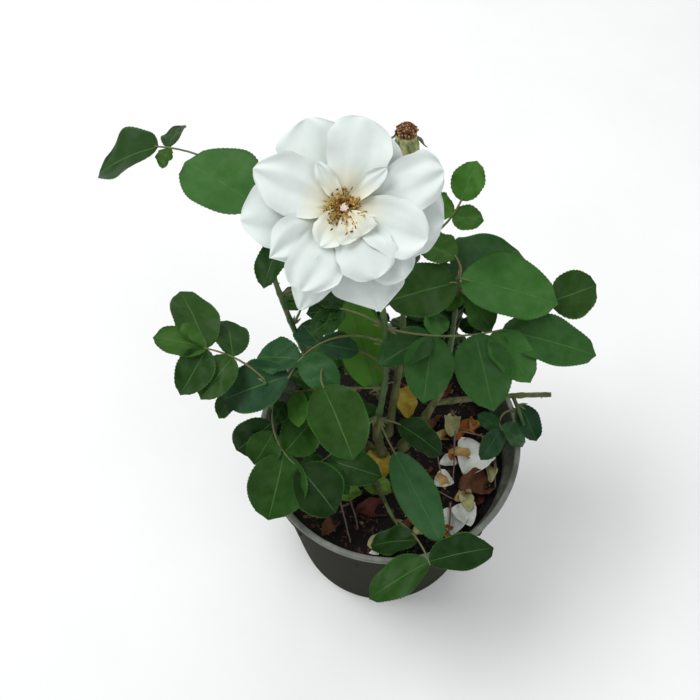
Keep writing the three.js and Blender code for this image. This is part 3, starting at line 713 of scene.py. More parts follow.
# Fallen petals and dead leaves: tint, middle, heading, length, width next to length, curl, climb, rise.
LITTER = [
    ("white", (66, -10), 62, 33, 0.95, 40, 14, 9),
    ("white", (46, -13), 20, 14, 0.8, 30, 12, 6),
    ("white", (41, -29), 30, 16, 0.9, 30, 10, 6),
    ("white", (48, -61), 78, 21, 0.95, 25, 10, 7),
    ("white", (57, -56), 112, 20, 0.95, 25, 10, 9),
    ("white", (-12, -84), 10, 8, 0.6, 50, 5, 5),
    ("tan", (56, -9), -4, 21, 0.4, 90, 20, 15),
    ("orange", (49, -9), 80, 13, 0.5, 90, 10, 11),
    ("tan", (41, -31), -50, 15, 0.5, 100, 15, 11),
    ("pale", (80, -17), 82, 26, 0.35, 70, 8, 7),
    ("tan", (57, -42), 20, 17, 0.5, 110, 12, 9),
    ("pale", (58, -44), 96, 22, 0.5, 70, 10, 11),
    ("orange", (44, -70), 0, 15, 0.7, 80, 10, 8),
    ("tan", (40, -66), 70, 14, 0.5, 90, 10, 6),
    ("brown", (68, -31), 10, 30, 0.7, 45, 4, 5),
    ("red", (68, -40), 60, 22, 0.5, 80, 8, 5),
    ("orange", (67, 17), 0, 22, 0.6, 90, 10, 6),
    ("tan", (71, 24), 62, 20, 0.5, 100, 10, 6),
    ("pale", (51, 20), 84, 26, 0.5, 60, 10, 8),
    ("tan", (44, 9), 10, 18, 0.5, 90, 10, 6),
    ("orange", (59, 9), 30, 16, 0.5, 100, 10, 7),
    ("tan", (79, 6), 90, 22, 0.5, 90, 10, 7),
    ("brown", (36, 26), 70, 26, 0.5, 90, 10, 7),
    ("red", (-11, -51), 4, 30, 0.5, 60, 5, 5),
    ("red", (14, -67), 28, 38, 0.35, 50, 5, 6),
    ("pale", (-6, -77), 8, 23, 0.6, 100, 10, 7),
    ("pale", (26, -66), 20, 20, 0.5, 80, 10, 6),
    ("yellow", (-8, -15), -74, 26, 0.7, 50, 25, 9),
    ("yellow", (14, 38), -80, 28, 0.7, 50, 25, 10),
    ("yellow", (-62, -38), -70, 24, 0.7, 40, 15, 7),
    ("lime", (-32, -40), 10, 22, 0.7, 40, 15, 8),
    ("lime", (-9, -36), -10, 22, 0.7, 40, 15, 9),
    ("brown", (24, -40), 200, 24, 0.5, 70, 8, 6),
    ("red", (18, -18), 150, 22, 0.5, 80, 8, 6),
    ("brown", (34, -54), -30, 20, 0.5, 80, 8, 6),
    ("brown", (-44, -62), 60, 22, 0.5, 80, 8, 6),
    ("brown", (-58, 20), 100, 26, 0.5, 80, 8, 6),
    ("tan", (-40, 46), 30, 24, 0.5, 90, 8, 6),
    ("brown", (10, 70), 200, 26, 0.5, 80, 8, 6),
    ("red", (46, 52), 80, 24, 0.5, 80, 8, 6),
    ("tan", (-10, 74), 20, 22, 0.5, 80, 8, 6),
]
LITTER_CUP = 0.8
FALLEN_CUP = 0.45
LITTER_WAVE = 0.06
LITTER_RAGGED = 0.08
LITTER_THICKNESS = 0.4
# Dead stalks that lie on the soil or lean over it: from, to, and how high each end is.
DEAD_STALKS = [
    ((52, 9, 14), (49, -30, 8)),
    ((36, -7, 12), (40, -23, 7)),
    ((55, 9, 12), (76, 6, 10)),
    ((83, -6, 10), (82, -32, 3)),
    ((46, -46, 4), (44, -72, 6)),
    ((-38, -43, 10), (-30, -76, 3)),
    ((-30, -44, 8), (-24, -66, 3)),
    ((-14, 44, 8), (4, 52, 14)),
    ((20, -30, 2), (52, -44, 3)),
]
DEAD_STALK_ARCH = 2.5
DEAD_STALK_RADII = (0.8, 0.5)


def make_litter():
    looks = materials(5, 0.75, 0.3, 1.5, **{f"litter_{name}": codes for name, codes in LITTER_TINTS.items()})
    numbers = {name: i for i, name in enumerate(LITTER_TINTS)}
    heap = Heap()
    v = np.linspace(-1, 1, 9)
    s = np.linspace(0, 1, 17)
    for seed, (tint, middle, heading, length, width, curl, climb, rise) in enumerate(LITTER):
        chance = Dice(300 + seed)
        along = direction(heading, climb)
        up = direction(heading, climb + 90)
        start = soil_point(*middle, rise) - along * length / 2
        if tint == "white":
            plan = petal(length, width * length, curl, FALLEN_CUP)
            petal_sheet(heap, start, along, up, plan, 800 + seed, numbers[tint])
            continue
        outline = np.clip(np.sin(np.pi * s**0.85), 0, 1) ** 0.7 * width * length / 2
        outline = outline * (1 + LITTER_RAGGED * waves(chance, (s, 2, 4)))
        wave = LITTER_WAVE * length * waves(chance, (s[:, None], 1, 2), (v, 0.3, 0.7))
        height = LITTER_CUP * outline[:, None] * v**2 + wave * (s[:, None] > 0)
        sheet(heap, start, along, up, length, curl, outline, height, v, LITTER_THICKNESS, numbers[tint])
    for seed, (start, end) in enumerate(DEAD_STALKS):
        ends = (soil_point(*start), soil_point(*end))
        path = np.array([mix(ends, t) + UP * DEAD_STALK_ARCH * math.sin(math.pi * t)
                         for t in np.linspace(0, 1, 12)])
        path += 0.8 * np.stack([roughly(path, 9, seed + k) for k in (1, 2, 3)], 1)
        tube(heap, path, np.linspace(*DEAD_STALK_RADII, 12), 6, numbers["stalk"])
    piece("litter", heap, looks, "dried")


# ---- Canes and shoots ----

PATHS = {}
RADII = {}
LIMB_STEP = 2.0  # distance between a limb's rings
CANE_SIDES = 16
SHOOT_SIDES = 12
BARK_RELIEF = 0.16
BARK_GRAIN = 3.5
KNOT_SPACING = 26
KNOT_LENGTH = 2.2
KNOT_SWELL = 0.22


def beyond_tip(name, distance):
    path = PATHS[name]
    return path[-1] + unit(path[-1] - path[-2]) * distance


def limb_start(plan):
    if "foot" in plan:
        return np.array([*plan["foot"], SOIL_TOP + CLEARANCE])
    if "at" in plan:
        return point_at(PATHS[plan["source"]], plan["at"])
    return beyond_tip(plan["source"], CLEARANCE)


def grow_limb(name, plan):
    """Notes a limb's centre line and radii, with swollen knots and a flare at a foot on the soil."""
    steps = max(6, round(plan["length"] / LIMB_STEP))
    path = limb_path(limb_start(plan), plan["heading"], plan["climb"], plan["length"], steps)
    away = np.linspace(0, plan["length"], steps + 1)
    radii = mix(plan["radius"], away / plan["length"])
    from_knot = (away % KNOT_SPACING) - KNOT_SPACING / 2
    radii = radii * (1 + KNOT_SWELL * np.exp(-(from_knot / KNOT_LENGTH) ** 2))
    if "foot" in plan:
        radii = radii * (1 + (ROOT_FLARE - 1) * np.exp(-((away / FLARE_HEIGHT) ** 2) * 3))
    PATHS[name] = path
    RADII[name] = radii


def limb_skin(heap, name, sides, relief, level):
    path = PATHS[name]
    radii = RADII[name]
    rings = tube_rings(path, radii, sides, level)
    for i in range(1 if level else 0, len(rings)):
        swell = 1 + relief * roughly(rings[i], BARK_GRAIN, 2) / radii[i]
        rings[i] = path[i] + (rings[i] - path[i]) * swell[:, None]
    heap.skin(rings)


THORN_EVERY = 17
THORN_SIZE = (2.2, 3.6)
THORN_HOOK = 0.5
THORN_PROFILE = ((0, 0.34), (0.25, 0.24), (0.6, 0.12), (1, 0.03))  # place and radius, next to its size


def thorns(heap, name, length, look, seed):
    """Hooked prickles along a limb."""
    chance = Dice(seed)
    path = PATHS[name]
    count = int(length / THORN_EVERY)
    for i in range(count):
        t = (i + chance(0.2, 0.8)) / count
        along = unit(point_at(path, min(t + 0.02, 1)) - point_at(path, max(t - 0.02, 0)))
        out = unit(np.cross(along, direction(GOLDEN_TURN * i + chance(0, 40), 20)))
        radius = np.interp(t, np.linspace(0, 1, len(path)), RADII[name])
        size = chance(*THORN_SIZE)
        line = [point_at(path, t) + out * (radius * 0.6 + size * s) - along * size * THORN_HOOK * s**2
                for s, _ in THORN_PROFILE]
        tube(heap, line, [size * width for _, width in THORN_PROFILE], 6, look)


def make_canes():
    for seed, (name, plan) in enumerate(CANES.items()):
        cane = Heap()
        limb_skin(cane, name, CANE_SIDES, BARK_RELIEF * 2, "foot" in plan)
        thorns(cane, name, plan["length"], 1, 400 + seed)
        piece(f"{name}_bark", cane, [BARK_LOOK, THORN_LOOK], "bark", name)


# ---- Leaves ----

LEAF_COLUMNS = np.array([-1, -0.95, -0.75, -0.52, -0.28, -0.1, -0.022, 0.022, 0.1, 0.28, 0.52, 0.75,
                         0.95, 1])
TOOTH = 1.15  # half the distance between teeth along a leaflet
TOOTH_DEPTH = 0.26
SIDE_VEINS = 6.5
VEIN_SLANT = 0.22
VEIN_LEVEL = 0.6
RIB_VALLEY = 1 / 6  # part of the half width over which the relief rises from the rib
QUILT = 0.42
PUCKER = 0.8  # height of the wider unevenness
EDGE_WAVE = 0.04
LEAF_ROUND = 0.62
TIP_WIDTH = 0.35  # of a leaflet's full outline, that is left at its tip
TIP_POINT = 0.1  # part of a leaflet's length that its pointed tip takes
FILL_TINTS = 2.6  # filling leaves get the first, darker tints
LEAF_THICKNESS = 0.35
STALK_STEPS = 12
STALK_SIDES = 6
STALK_RADII = (1.0, 0.65)
STIPULE = dict(length=8, curl=10, half=0.9, spread=0.35, thickness=0.4)
PLANNED, FILLING, FINEST = range(3)  # ranks of leaves, in the order they grow
grown = []  # points of what grows already


def strip_looks(tint):
    strips = [EDGE_LOOK] + [tint] * (len(LEAF_COLUMNS) - 3) + [EDGE_LOOK]
    strips[(len(LEAF_COLUMNS) - 1) // 2] = RIB_LOOK
    return strips + [UNDER_LOOK]


def leaf_outline(s):
    """Half the width of a leaflet at each station, as a part of its greatest: an oval with a small point."""
    oval = np.clip(np.sin(np.pi * s**0.88), 0, 1) ** LEAF_ROUND
    near = np.clip((1 - s) / TIP_POINT, 0, 1)
    return oval * mix((TIP_WIDTH, 1), near)


def leaflet(heap, start, along, up, length, row, width, tint, chance):
    count = 2 * max(6, round(length / TOOTH / 2)) + 1
    s = np.linspace(0, 1, count)
    shape = leaf_outline(s)
    half = shape * width * length / 2
    v = LEAF_COLUMNS
    across = half[:, None] * v
    teeth = np.where(np.arange(count) % 2, 1, -1) * TOOTH_DEPTH * np.clip(shape * 3 - 0.4, 0, 1)
    across[:, 0] -= teeth
    across[:, -1] += teeth
    rise = shape[:, None] * np.clip(np.abs(v) / RIB_VALLEY, 0, 1)
    veins = np.abs(np.sin(np.pi * SIDE_VEINS * (s[:, None] - VEIN_SLANT * np.abs(v)))) - VEIN_LEVEL
    quilt = QUILT * veins * rise * (1 - np.abs(v) ** 4)
    bumps = waves(chance, (s[:, None], 1.5, 3), (v, 0.4, 0.9))
    phases = np.where(v < 0, chance(), chance())
    wave = np.sin(2 * np.pi * (s[:, None] * chance(1.2, 2.2) + phases))
    height = row["fold"] * half[:, None] * v**2 + quilt + PUCKER * bumps * rise
    height = height + EDGE_WAVE * length * shape[:, None] * v**2 * wave
    shade = SHADES * tint + int(chance(0, SHADES))
    sheet(heap, start, along, up, length, row["curl"], across, height, v, LEAF_THICKNESS, strip_looks(shade))


def leaf_samples(start, along, up, length, width):
    """Points over a leaflet, to judge how near it comes to others."""
    side = np.cross(along, up)
    places = ((0.3, 0), (0.55, 0), (0.55, 0.4), (0.55, -0.4), (0.8, 0), (1, 0))
    return np.array([start + along * length * s + side * v * width * length for s, v in places])


def free_of(samples, points):
    return all(np.linalg.norm(points - p, axis=1).min() > CROWDING for p in samples)


def covers(samples, points):
    """Whether a leaflet lies over any of the points as seen from the open side."""
    view = direction(*OPEN_SIDE)
    for sample in samples:
        away = sample - points
        ahead = away @ view
        beside = np.linalg.norm(away - np.outer(ahead, view), axis=1)
        if np.any((ahead > 0) & (beside < COVER)):
            return True
    return False


def grow_leaf(shoot, row, seed, twigs, leaves, rank=PLANNED):
    """Adds a leaf's stalk and leaflets. A leaflet that fills and comes too near to others is left off, and
    so is a finer one that covers others."""
    chance = Dice(seed)
    looks = Dice(seed + 5000)
    start = point_at(PATHS[shoot], row["at"])
    path = limb_path(start, row["heading"], row["climb"], row["reach"], STALK_STEPS)
    taken = np.concatenate(grown)
    tint = TINT_NAMES.index(row["tint"]) if row["tint"] else int(looks(0, FILL_TINTS))
    kept = 0
    for entry in row["leaflets"]:
        place, turn, length = entry[:3]
        width = entry[3] if len(entry) > 3 else row["width"]
        heading = mix(row["heading"], place)
        climb = mix(row["climb"], place)
        along = direction(heading, climb)
        up = turned(direction(heading, climb + 90), along, row["roll"])
        base = point_at(path, place)
        if place == 1:
            base = base - along * LEAF_SINK
        along = turned(along, up, turn + chance(-1, 1) * LEAF_CHANCE["turn"])
        side = np.cross(along, up)
        drop = -(LEAF_DROOP + chance(-1, 1) * LEAF_CHANCE["droop"])
        along = turned(along, side, drop)
        up = turned(turned(up, side, drop), along, chance(-1, 1) * LEAF_CHANCE["roll"])
        size = length * (1 + chance(-1, 1) * LEAF_CHANCE["length"]) + LEAF_SINK
        samples = leaf_samples(base, along, up, size, width)
        if rank >= FILLING and not free_of(samples, taken):
            continue
        if rank == FINEST and covers(samples, taken):
            continue
        grown.append(samples)
        kept += 1
        leaflet(leaves, base, along, up, size, row, width, tint, looks)
    if kept:
        tube(twigs, path, mix(STALK_RADII, np.linspace(0, 1, len(path))), STALK_SIDES, 1)
        stipules(twigs, path)


def stipules(heap, path):
    """The pair of narrow wings at the foot of a leaf's stalk."""
    along = unit(path[2] - path[0])
    flat = unit(np.cross(along, UP))
    columns = np.linspace(-1, 1, 3)
    outline = STIPULE["half"] * np.sin(np.pi * np.linspace(0, 1, 7))
    level = np.zeros((7, 3))
    for turn in (1, -1):
        out = unit(along + STIPULE["spread"] * turn * flat)
        up = unit(np.cross(np.cross(out, UP), out))
        sheet(heap, path[0] + along, out, up, STIPULE["length"], STIPULE["curl"], outline, level, columns,
              STIPULE["thickness"], 1)


def fill_rows(seed, count=0, arc=(0, 0), blade=0, span=FILL_SPAN):
    """Rows of filling leaves, whose headings step by the golden turn inside the arc."""
    chance = Dice(seed)
    rows = []
    for i in range(count):
        heading = arc[0] + (GOLDEN_TURN * (i + chance())) % (arc[1] - arc[0])
        climb = mix(FILL_CLIMB, chance())
        size = blade * mix((0.8, 1.1), chance())
        at = mix(span, (i + chance()) / count)
        end = heading + FILL_BEND * (chance() - 0.5)
        pairs = [(place, turn * PAIR_TURN, size * part) for place, part in PAIRS for turn in (1, -1)]
        rows.append(leaf(at, (heading, end), (climb, climb - FILL_FALL), mix(FILL_REACH, chance()),
                         (1, 0, size), *pairs))
    return rows


def make_shoots():
    number = 0
    jobs = []
    for i, (name, rows) in enumerate(LEAVES.items()):
        filling = fill_rows(FILL_SEED + i, *FILL.get(name, ()))
        finer = fill_rows(FINER_SEED + i, *FINER.get(name, ()))
        for k, row in enumerate(rows + filling):
            number += 1
            jobs.append((name, row, number, PLANNED if k < len(rows) else FILLING))
        jobs += [(name, row, FINER_SEED + 20 * (i + 1) + k, FINEST) for k, row in enumerate(finer)]
    jobs.sort(key=lambda job: job[3])
    twigs = {name: Heap() for name in SHOOTS}
    leaves = {name: Heap() for name in SHOOTS}
    for name in [*CANES, *SHOOTS]:
        grown.append(PATHS[name][::2])
    for name, row, seed, rank in jobs:
        grow_leaf(name, row, seed, twigs[name], leaves[name], rank)
    for seed, name in enumerate(SHOOTS):
        limb_skin(twigs[name], name, SHOOT_SIDES, BARK_RELIEF, False)
        thorns(twigs[name], name, SHOOTS[name]["length"], 2, 500 + seed)
        piece(f"{name}_twigs", twigs[name], [SHOOT_LOOK, STALK_LOOK, THORN_LOOK], "foliage", name)
        piece(f"{name}_leaves", leaves[name], LEAF_LOOKS, "foliage", name)


# ---- Bloom ----

BLOOM_STALK = limb((170, 270), (70, 51), 21, (1.6, 2))
HIP = ((-1, 1.6), (0.5, 2.6), (2, 3.6), (4.5, 4.5), (7, 4.3), (9, 3.6))  # distance and radius
HIP_SIDES = 20
HEART = 7  # how far the petals' roots are from the stalk
BLOOM_SEPALS = dict(count=5, length=24, width=6.4, lift=-25, curl=50, columns=5)
SEPAL_START = 20  # where the first sepal stands
SEPAL_STATIONS = np.linspace(0, 1, 13)
SEPAL_BOW = 0.2
SEPAL_THICKNESS = 0.5
STAMEN_COUNT = 200
STAMEN_BASE = 2.5  # how far the stamens' feet stand above the heart
STAMEN_RING = (0.6, 2.6)
STAMEN_LEAN = (12, 78)
STAMEN_REACH = (4, 9.5)
STAMEN_DROOP = 0.75  # how much further the outer stamens of the lower side reach
STAMEN_ARCH = 0.16
STAMEN_SWAY = 0.25
STAMEN_RADII = (0.34, 0.24)
ANTHER_SHARES = (0.45, 0.87, 1)  # of the anthers, up to each shade: gold, brown, dark
STIGMA_COUNT = 16
STIGMA = ((0, 0.35), (2.5, 0.35), (5, 0.4), (6.6, 0.75), (7, 0.3))  # distance and radius
PETAL_THICKNESS = 0.5
PETAL_GRID = (41, 31)  # stations along a petal, and columns across it

PETAL_SHAPE = dict(belly=(0.7, 0.7), point=0, lean=0, claw=0.75)


def petal(length, width, curl, cup, **shape):
    """A petal's plan in millimetres and degrees.

    Its bellies are the widest stations of its two halves, its lean shifts the tip clockwise, and a greater
    claw makes a narrower root.
    """
    return {**PETAL_SHAPE, "length": length, "width": width, "curl": curl, "cup": cup, **shape}


# Each petal has its turn clockwise from the top, its lift, the height of its root, and its plan.
PETALS = [
    (-156, 0, 0, petal(64, 24, 20, 0.1, point=0.7)),
    (168, 3, 0, petal(61, 42, 16, 0.1, point=1, lean=-8)),
    (97, 11, 1, petal(55, 44, 22, 0.12)),
    (-97, 9, 1, petal(57, 38, 20, 0.12, point=0.5, belly=(0.66, 0.74))),
    (36, 8, 1, petal(45, 26, 20, 0.12)),
    (-19, 12, 1, petal(51, 43, 20, 0.1, point=0.4, lean=-4, belly=(0.8, 0.6))),
    (139, 13, 1, petal(51, 28, 16, 0.15, belly=(0.74, 0.7))),
    (-126, 17, 1.5, petal(49, 28, 18, 0.12, point=1, lean=2)),
    (-67, 18, 2, petal(53, 33, 22, 0.12, point=0.5, belly=(0.6, 0.66))),
    (73, 20, 2, petal(57, 30, 22, 0.15, lean=-3, belly=(0.8, 0.7))),
    (-159, 21, 2, petal(51, 31, 24, 0.12, lean=6)),
    (18, 22, 2.5, petal(49, 35, 24, 0.15, lean=-4, belly=(0.7, 0.76))),
    (111, 24, 2.2, petal(49, 31, 24, 0.14, belly=(0.62, 0.7))),
    (154, 26, 2.5, petal(43, 32, 28, 0.18)),
    (44, 30, 3, petal(33, 10, 14, 0.3, point=0.3, lean=2)),
    (-31, 26, 3, petal(29, 10, 14, 0.3, point=0.3)),
    (150, 62, 3.5, petal(21, 22, 78, 0.35, belly=(0.86, 0.86), claw=1.8)),
    (-148, 34, 3, petal(26, 18, 26, 0.2, point=0.3)),
]
FOLDS = ((1.2, 0.5), (2.6, 0.22), (5.5, 0.06))  # waves across a petal and their heights
FOLDED_HALF = 14  # a petal with a smaller half width has lower folds
RUFFLE = 0.03
EDGE_RIPPLE = 0.025
PETAL_TWIST = 0.05
NICK = 0.035  # unevenness of a petal's side edges, next to its half width
ROLL = 0.16  # how far the edges of a petal's outer part bend back, next to its half width


def petal_outline(s, belly, point, claw):
    """Half the width at each station as a part of its greatest."""
    rising = np.sin(np.pi / 2 * np.clip(s / belly, 0, 1)) ** claw
    u = np.clip((s - belly) / (1 - belly), 0, 1)
    round_tip = np.sqrt(1 - u**2)
    sharp_tip = np.cos(np.pi / 2 * u**0.85) ** 1.1
    return np.where(s < belly, rising, mix((round_tip, sharp_tip), point))


def petal_sheet(heap, start, along, up, plan, seed, look, grid=PETAL_GRID, thickness=PETAL_THICKNESS):
    chance = Dice(seed)
    s = np.linspace(0, 1, grid[0])
    v = np.linspace(-1, 1, grid[1])
    length = plan["length"]
    half = plan["width"] / 2
    sides = [petal_outline(s, belly, plan["point"], plan["claw"])[:, None] for belly in plan["belly"]]
    shape = np.where(v < 0, *sides)
    outline = half * shape
    fan = s[:, None]
    nicks = 1 + NICK * fan * waves(chance, (fan, 4, 6)) * np.abs(v)
    across = outline * v * nicks + plan["lean"] * fan**2
    folds = sum(height * np.sin(np.pi * (waves * v + chance(0, 2))) for waves, height in FOLDS)
    relief = folds * min(1, half / FOLDED_HALF) * np.sin(np.pi * fan**0.9) ** 0.6
    margin = RUFFLE * length * fan**3 * waves(chance, (v, 0.7, 1.3))
    twist = chance(-PETAL_TWIST, PETAL_TWIST) * length * v * fan**2
    edge = EDGE_RIPPLE * length * np.abs(v) ** 3 * waves(chance, (fan, 1.5, 2.5))
    rolled = -ROLL * half * fan**3 * v**4
    height = plan["cup"] * outline * v**2 + (relief + twist + edge) * np.sqrt(shape)
    height = height + (margin + rolled) * shape
    sheet(heap, start, along, up, length, plan["curl"], across, height, v, thickness, look)


def petal_material():
    """Cool white that warms to cream towards the bloom's heart."""
    made = material("petal", ["cfd8d4", "d8e0dc"], 16, 0.6, bump=0.02, fine=3, Specular_IOR_Level=0.1)
    tree = made.node_tree
    link = tree.links.new
    base = tree.nodes["Principled BSDF"].inputs["Base Color"]
    away = add_node(tree, "VectorMath")
    away.operation = "DISTANCE"
    away.inputs[1].default_value = tuple(bloom_heart() * MM)
    link(tree.nodes["Texture Coordinate"].outputs["Object"], away.inputs[0])
    near = add_node(tree, "MapRange", From_Min=0.006, From_Max=0.026)
    link(away.outputs["Value"], near.inputs["Value"])
    blend = add_node(tree, "Mix")
    blend.data_type = "RGBA"
    link(near.outputs["Result"], blend.inputs["Factor"])
    blend.inputs["A"].default_value = colour("dfd9b4")
    link(base.links[0].from_socket, blend.inputs["B"])
    link(blend.outputs["Result"], base)
    return made


def bloom_axes():
    heading = BLOOM_STALK["heading"][1]
    climb = BLOOM_STALK["climb"][1]
    return direction(heading, climb), direction(heading, climb + 90)


def bloom_stalk():
    start = beyond_tip("flower_shoot", CLEARANCE)
    return limb_path(start, BLOOM_STALK["heading"], BLOOM_STALK["climb"], BLOOM_STALK["length"], 12)


def bloom_heart():
    return bloom_stalk()[-1] + bloom_axes()[0] * HEART


def sepal(heap, base, along, up, plan, look, ripple=0.0):
    """A narrow pointed blade under a flower. A ripple gives each point's height above its even bow."""
    v = np.linspace(-1, 1, plan["columns"])
    half = np.clip(np.sin(np.pi * SEPAL_STATIONS**0.6), 0, 1) ** 0.9 * plan["width"] / 2
    height = SEPAL_BOW * half[:, None] * v**2 + ripple * v**2 * (half[:, None] > 0)
    sheet(heap, base, along, up, plan["length"], plan["curl"], half, height, v, SEPAL_THICKNESS, look)


def make_bloom():
    axis, top = bloom_axes()
    stalk = bloom_stalk()
    heart = bloom_heart()
    green = Heap()
    tube(green, stalk, mix(BLOOM_STALK["radius"], np.linspace(0, 1, len(stalk))), SHOOT_SIDES)
    spindle(green, stalk[-1], axis, HIP, HIP_SIDES)
    for i in range(BLOOM_SEPALS["count"]):
        out = turned(top, axis, 360 * i / BLOOM_SEPALS["count"] + SEPAL_START)
        sepal(green, heart - axis * 1.5, *raised(out, axis, BLOOM_SEPALS["lift"]), BLOOM_SEPALS, 0)
    piece("bloom_hip", green, [SHOOT_LOOK], "foliage", "bloom")

    petals = Heap()
    for seed, (turn, lift, root, plan) in enumerate(PETALS):
        blade = raised(turned(top, axis, -turn), axis, lift)
        petal_sheet(petals, heart + axis * root, *blade, plan, 600 + seed, 0)
    piece("bloom_petals", petals, [petal_material()], "petal", "bloom")
    make_stamens(heart, axis, top)


def make_stamens(heart, axis, top):
    chance = Dice(42)
    heap = Heap()
    for i in range(STAMEN_COUNT):
        out = turned(top, axis, GOLDEN_TURN * i)
        below = max(0, -(out @ top))
        lean = mix(STAMEN_LEAN, ((i + 0.5) / STAMEN_COUNT) ** 0.8) + chance(-8, 8)
        reach = mix(STAMEN_REACH, chance()) * (1 + STAMEN_DROOP * below * (lean > 40))
        foot = heart + axis * STAMEN_BASE + out * chance(*STAMEN_RING)
        tilt = math.cos(rad(lean)) * axis + math.sin(rad(lean)) * out
        sway = np.cross(out, axis) * chance(-STAMEN_SWAY, STAMEN_SWAY)
        line = [foot + (tilt + sway * s) * reach * s + axis * reach * STAMEN_ARCH * math.sin(1.6 * s)
                for s in np.linspace(0, 1, 6)]
        tube(heap, line, np.linspace(*STAMEN_RADII, 6), 5, int(chance() > 0.6))
        swing = unit(out * chance(-1, 1) + np.cross(out, axis) * chance(-1, 1) + tilt * 0.4)
        share = chance()
        look = 2 + next(k for k, top_share in enumerate(ANTHER_SHARES) if share <= top_share)
        size = chance(0.7, 1.1)
        bead = [line[-1] + swing * size * d for d in (-1.1, -0.8, 0, 0.8, 1.1)]
        tube(heap, bead, [0.15, 0.42 * size, 0.48 * size, 0.42 * size, 0.15], 6, look)
    for i in range(STIGMA_COUNT):
        out = turned(top, axis, GOLDEN_TURN * i) * math.sqrt(i)
        foot = heart + axis * STAMEN_BASE + out * 0.2
        spindle(heap, foot, axis + out * 0.05, STIGMA, 6, 5)
    looks = [
        *materials(2, 0.6, 0.03, 0.5, filament_pale=["cbb35c", "dfcd82"], filament_gold=["a98732", "c29f48"]),
        *materials(1.5, 0.7, 0.05, 0.4, anther_gold=["ab8230", "c29a44"], anther_brown=["74491c", "8e6028"],
                   anther_dark=["2a190c", "402812"]),
        *materials(1.5, 0.5, 0.04, 0.4, stigma=["dcc4b4", "ecdfd2"]),
    ]
    piece("bloom_stamens", heap, looks, "dried", "bloom")


# ---- Spent bloom ----

SPENT_STALK = 15
CALYX_LENGTH = 15
CALYX = ((-1.5, 2), (0, 4), (2.25, 6.56), (5.25, 8), (9, 7.76), (12.75, 6.56), (CALYX_LENGTH, 6.24))
SEPAL_RING = 6  # radius on which the spent bloom's sepals stand
SPENT_SEPALS = dict(count=5, length=11, width=5, lift=-62, curl=-20, columns=7)
DRY_PETALS = 60
DRY_GRID = (15, 11)
DRY_LIFTS = (88, 30)
DRY_THREADS = 170
DRY_THREAD_RADII = (0.3, 0.3, 0.3, 0.3, 0.62, 0.55, 0.2)
TUFT_WIDE = 6.5
TUFT_HIGH = 6
TUFT_SUNK = 1.5  # how deep the tuft starts under the calyx's rim


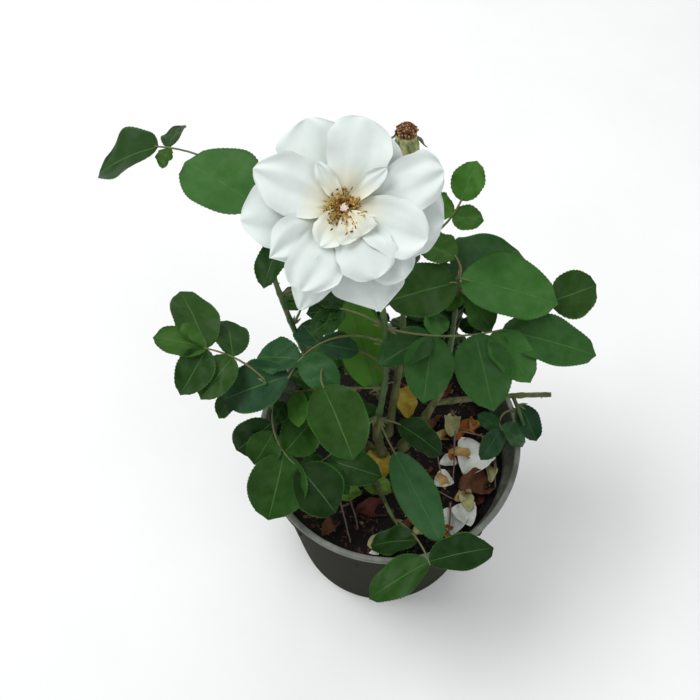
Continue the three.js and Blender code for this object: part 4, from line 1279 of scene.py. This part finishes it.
def make_spent_bloom():
    """The bare calyx, and the tuft of dry petals and threads that stands in it."""
    chance = Dice(77)
    axis = unit(PATHS["back_high"][-1] - PATHS["back_high"][-2])
    first = unit(np.array([1.0, 0, 0]) - axis * axis[0])
    foot = beyond_tip("back_high", CLEARANCE)
    rim = foot + axis * (SPENT_STALK + CALYX_LENGTH)
    calyx = Heap()
    tube(calyx, [foot + axis * d for d in np.linspace(0, SPENT_STALK, 8)], [1.5] * 7 + [1.9], SHOOT_SIDES)
    spindle(calyx, foot + axis * SPENT_STALK, axis, CALYX, 20)
    for i in range(SPENT_SEPALS["count"]):
        out = turned(first, axis, 360 * i / SPENT_SEPALS["count"])
        ripple = 0.5 * np.sin(2 * np.pi * (SEPAL_STATIONS[:, None] * 1.5 + chance()))
        blade = raised(out, axis, SPENT_SEPALS["lift"] + chance(-12, 12))
        sepal(calyx, rim - axis + out * SEPAL_RING, *blade, SPENT_SEPALS, 1, ripple)
    looks = [
        material("calyx", ["7f8450", "a8a672", "6a7545"], 5, 0.6, bump=0.15, fine=1),
        material("sepal", ["4a5528", "6f7845", "26220f"], 4, 0.7, bump=0.15, fine=1),
    ]
    piece("spent_calyx", calyx, looks, "dried", "spent_bloom")

    tuft = Heap()
    bed = rim - axis * TUFT_SUNK
    for i in range(DRY_PETALS):
        out = turned(first, axis, GOLDEN_TURN * i)
        blade = raised(out, axis, mix(DRY_LIFTS, i / DRY_PETALS) + chance(-10, 10))
        size = chance(4, 6.5)
        plan = petal(size, size * chance(0.4, 0.7), chance(-60, 60), chance(0.2, 0.7))
        petal_sheet(tuft, bed + out * chance(0, 3), *blade, plan, 700 + i, i % 3, DRY_GRID, 0.35)
    for i in range(DRY_THREADS):
        part = math.sqrt((i + 0.5) / DRY_THREADS)
        out = turned(first, axis, GOLDEN_TURN * i)
        root = bed + out * 3 * part
        swell = math.sqrt(1 - 0.85 * part**2) * chance(0.85, 1.1)
        tip = rim + axis * TUFT_HIGH * swell + out * TUFT_WIDE * part * chance(0.85, 1.05)
        line = [mix((root, tip), s) + out * math.sin(math.pi * s) * part for s in np.linspace(0, 0.9, 4)]
        way = unit(tip - root + np.cross(out, axis) * chance(-4, 4))
        line += [tip, tip + way * 0.9, tip + way * 1.2]
        tube(tuft, line, DRY_THREAD_RADII, 6, int(chance(0, 3)))
    looks = materials(3, 0.85, 0.2, 0.8, dry_rust=["5a3418", "7c4a24"], dry_brown=["3a2210", "58381e"],
                      dry_tan=["8c663c", "b89264"])
    piece("spent_petals", tuft, looks, "dried", "spent_bloom")


# ---- Floor, light and camera ----


FLOOR_REACH = 4000
SKY = dict(Color=(0.98, 0.99, 1, 1), Strength=0.47)
LIGHTS = (  # name, place in metres, size and power
    ("key", (-0.9, 0.2, 1.9), 1.0, 25),
    ("fill", (1.2, -1.0, 1.4), 1.2, 9),
    ("back", (0.3, 1.4, 1.5), 1.2, 8),
)
LIT_POINT = (0, 0, 0.25)


def make_studio():
    heap = Heap()
    heap.add(circle(64) * FLOOR_REACH, [tuple(range(64))])
    look = material("floor", ["eceded", "f2f2f2"], 400, 0.9, swing=0.02)
    floor = placed("floor", mesh_of("floor", heap, [look]))

    world = bpy.data.worlds.new("sky")
    world.use_nodes = True
    set_inputs(world.node_tree.nodes["Background"], **SKY)
    bpy.context.scene.world = world
    for name, place, size, power in LIGHTS:
        lamp = bpy.data.lights.new(name, "AREA")
        lamp.size = size
        lamp.energy = power
        light = placed(name, lamp)
        light.location = place
        light.rotation_euler = (Vector(LIT_POINT) - light.location).to_track_quat("-Z", "Y").to_euler()


CAMERA_PLACE = (-0.030, -0.288, 0.812)
CAMERA_PITCH = 30  # up from straight down
LENS = 46.29


def make_camera():
    data = bpy.data.cameras.new("camera")
    data.lens = LENS
    data.sensor_width = 36
    camera = placed("camera", data)
    camera.location = CAMERA_PLACE
    camera.rotation_euler = (rad(CAMERA_PITCH), 0, 0)
    bpy.context.scene.camera = camera


# ---- The scene ----

make_studio()
make_camera()
for limb_name, limb_plan in {**CANES, **SHOOTS}.items():
    grow_limb(limb_name, limb_plan)
make_pot()
make_soil()
make_chips()
make_litter()
make_canes()
make_shoots()
make_bloom()
make_spent_bloom()
bpy.context.scene.view_settings.view_transform = "Standard"
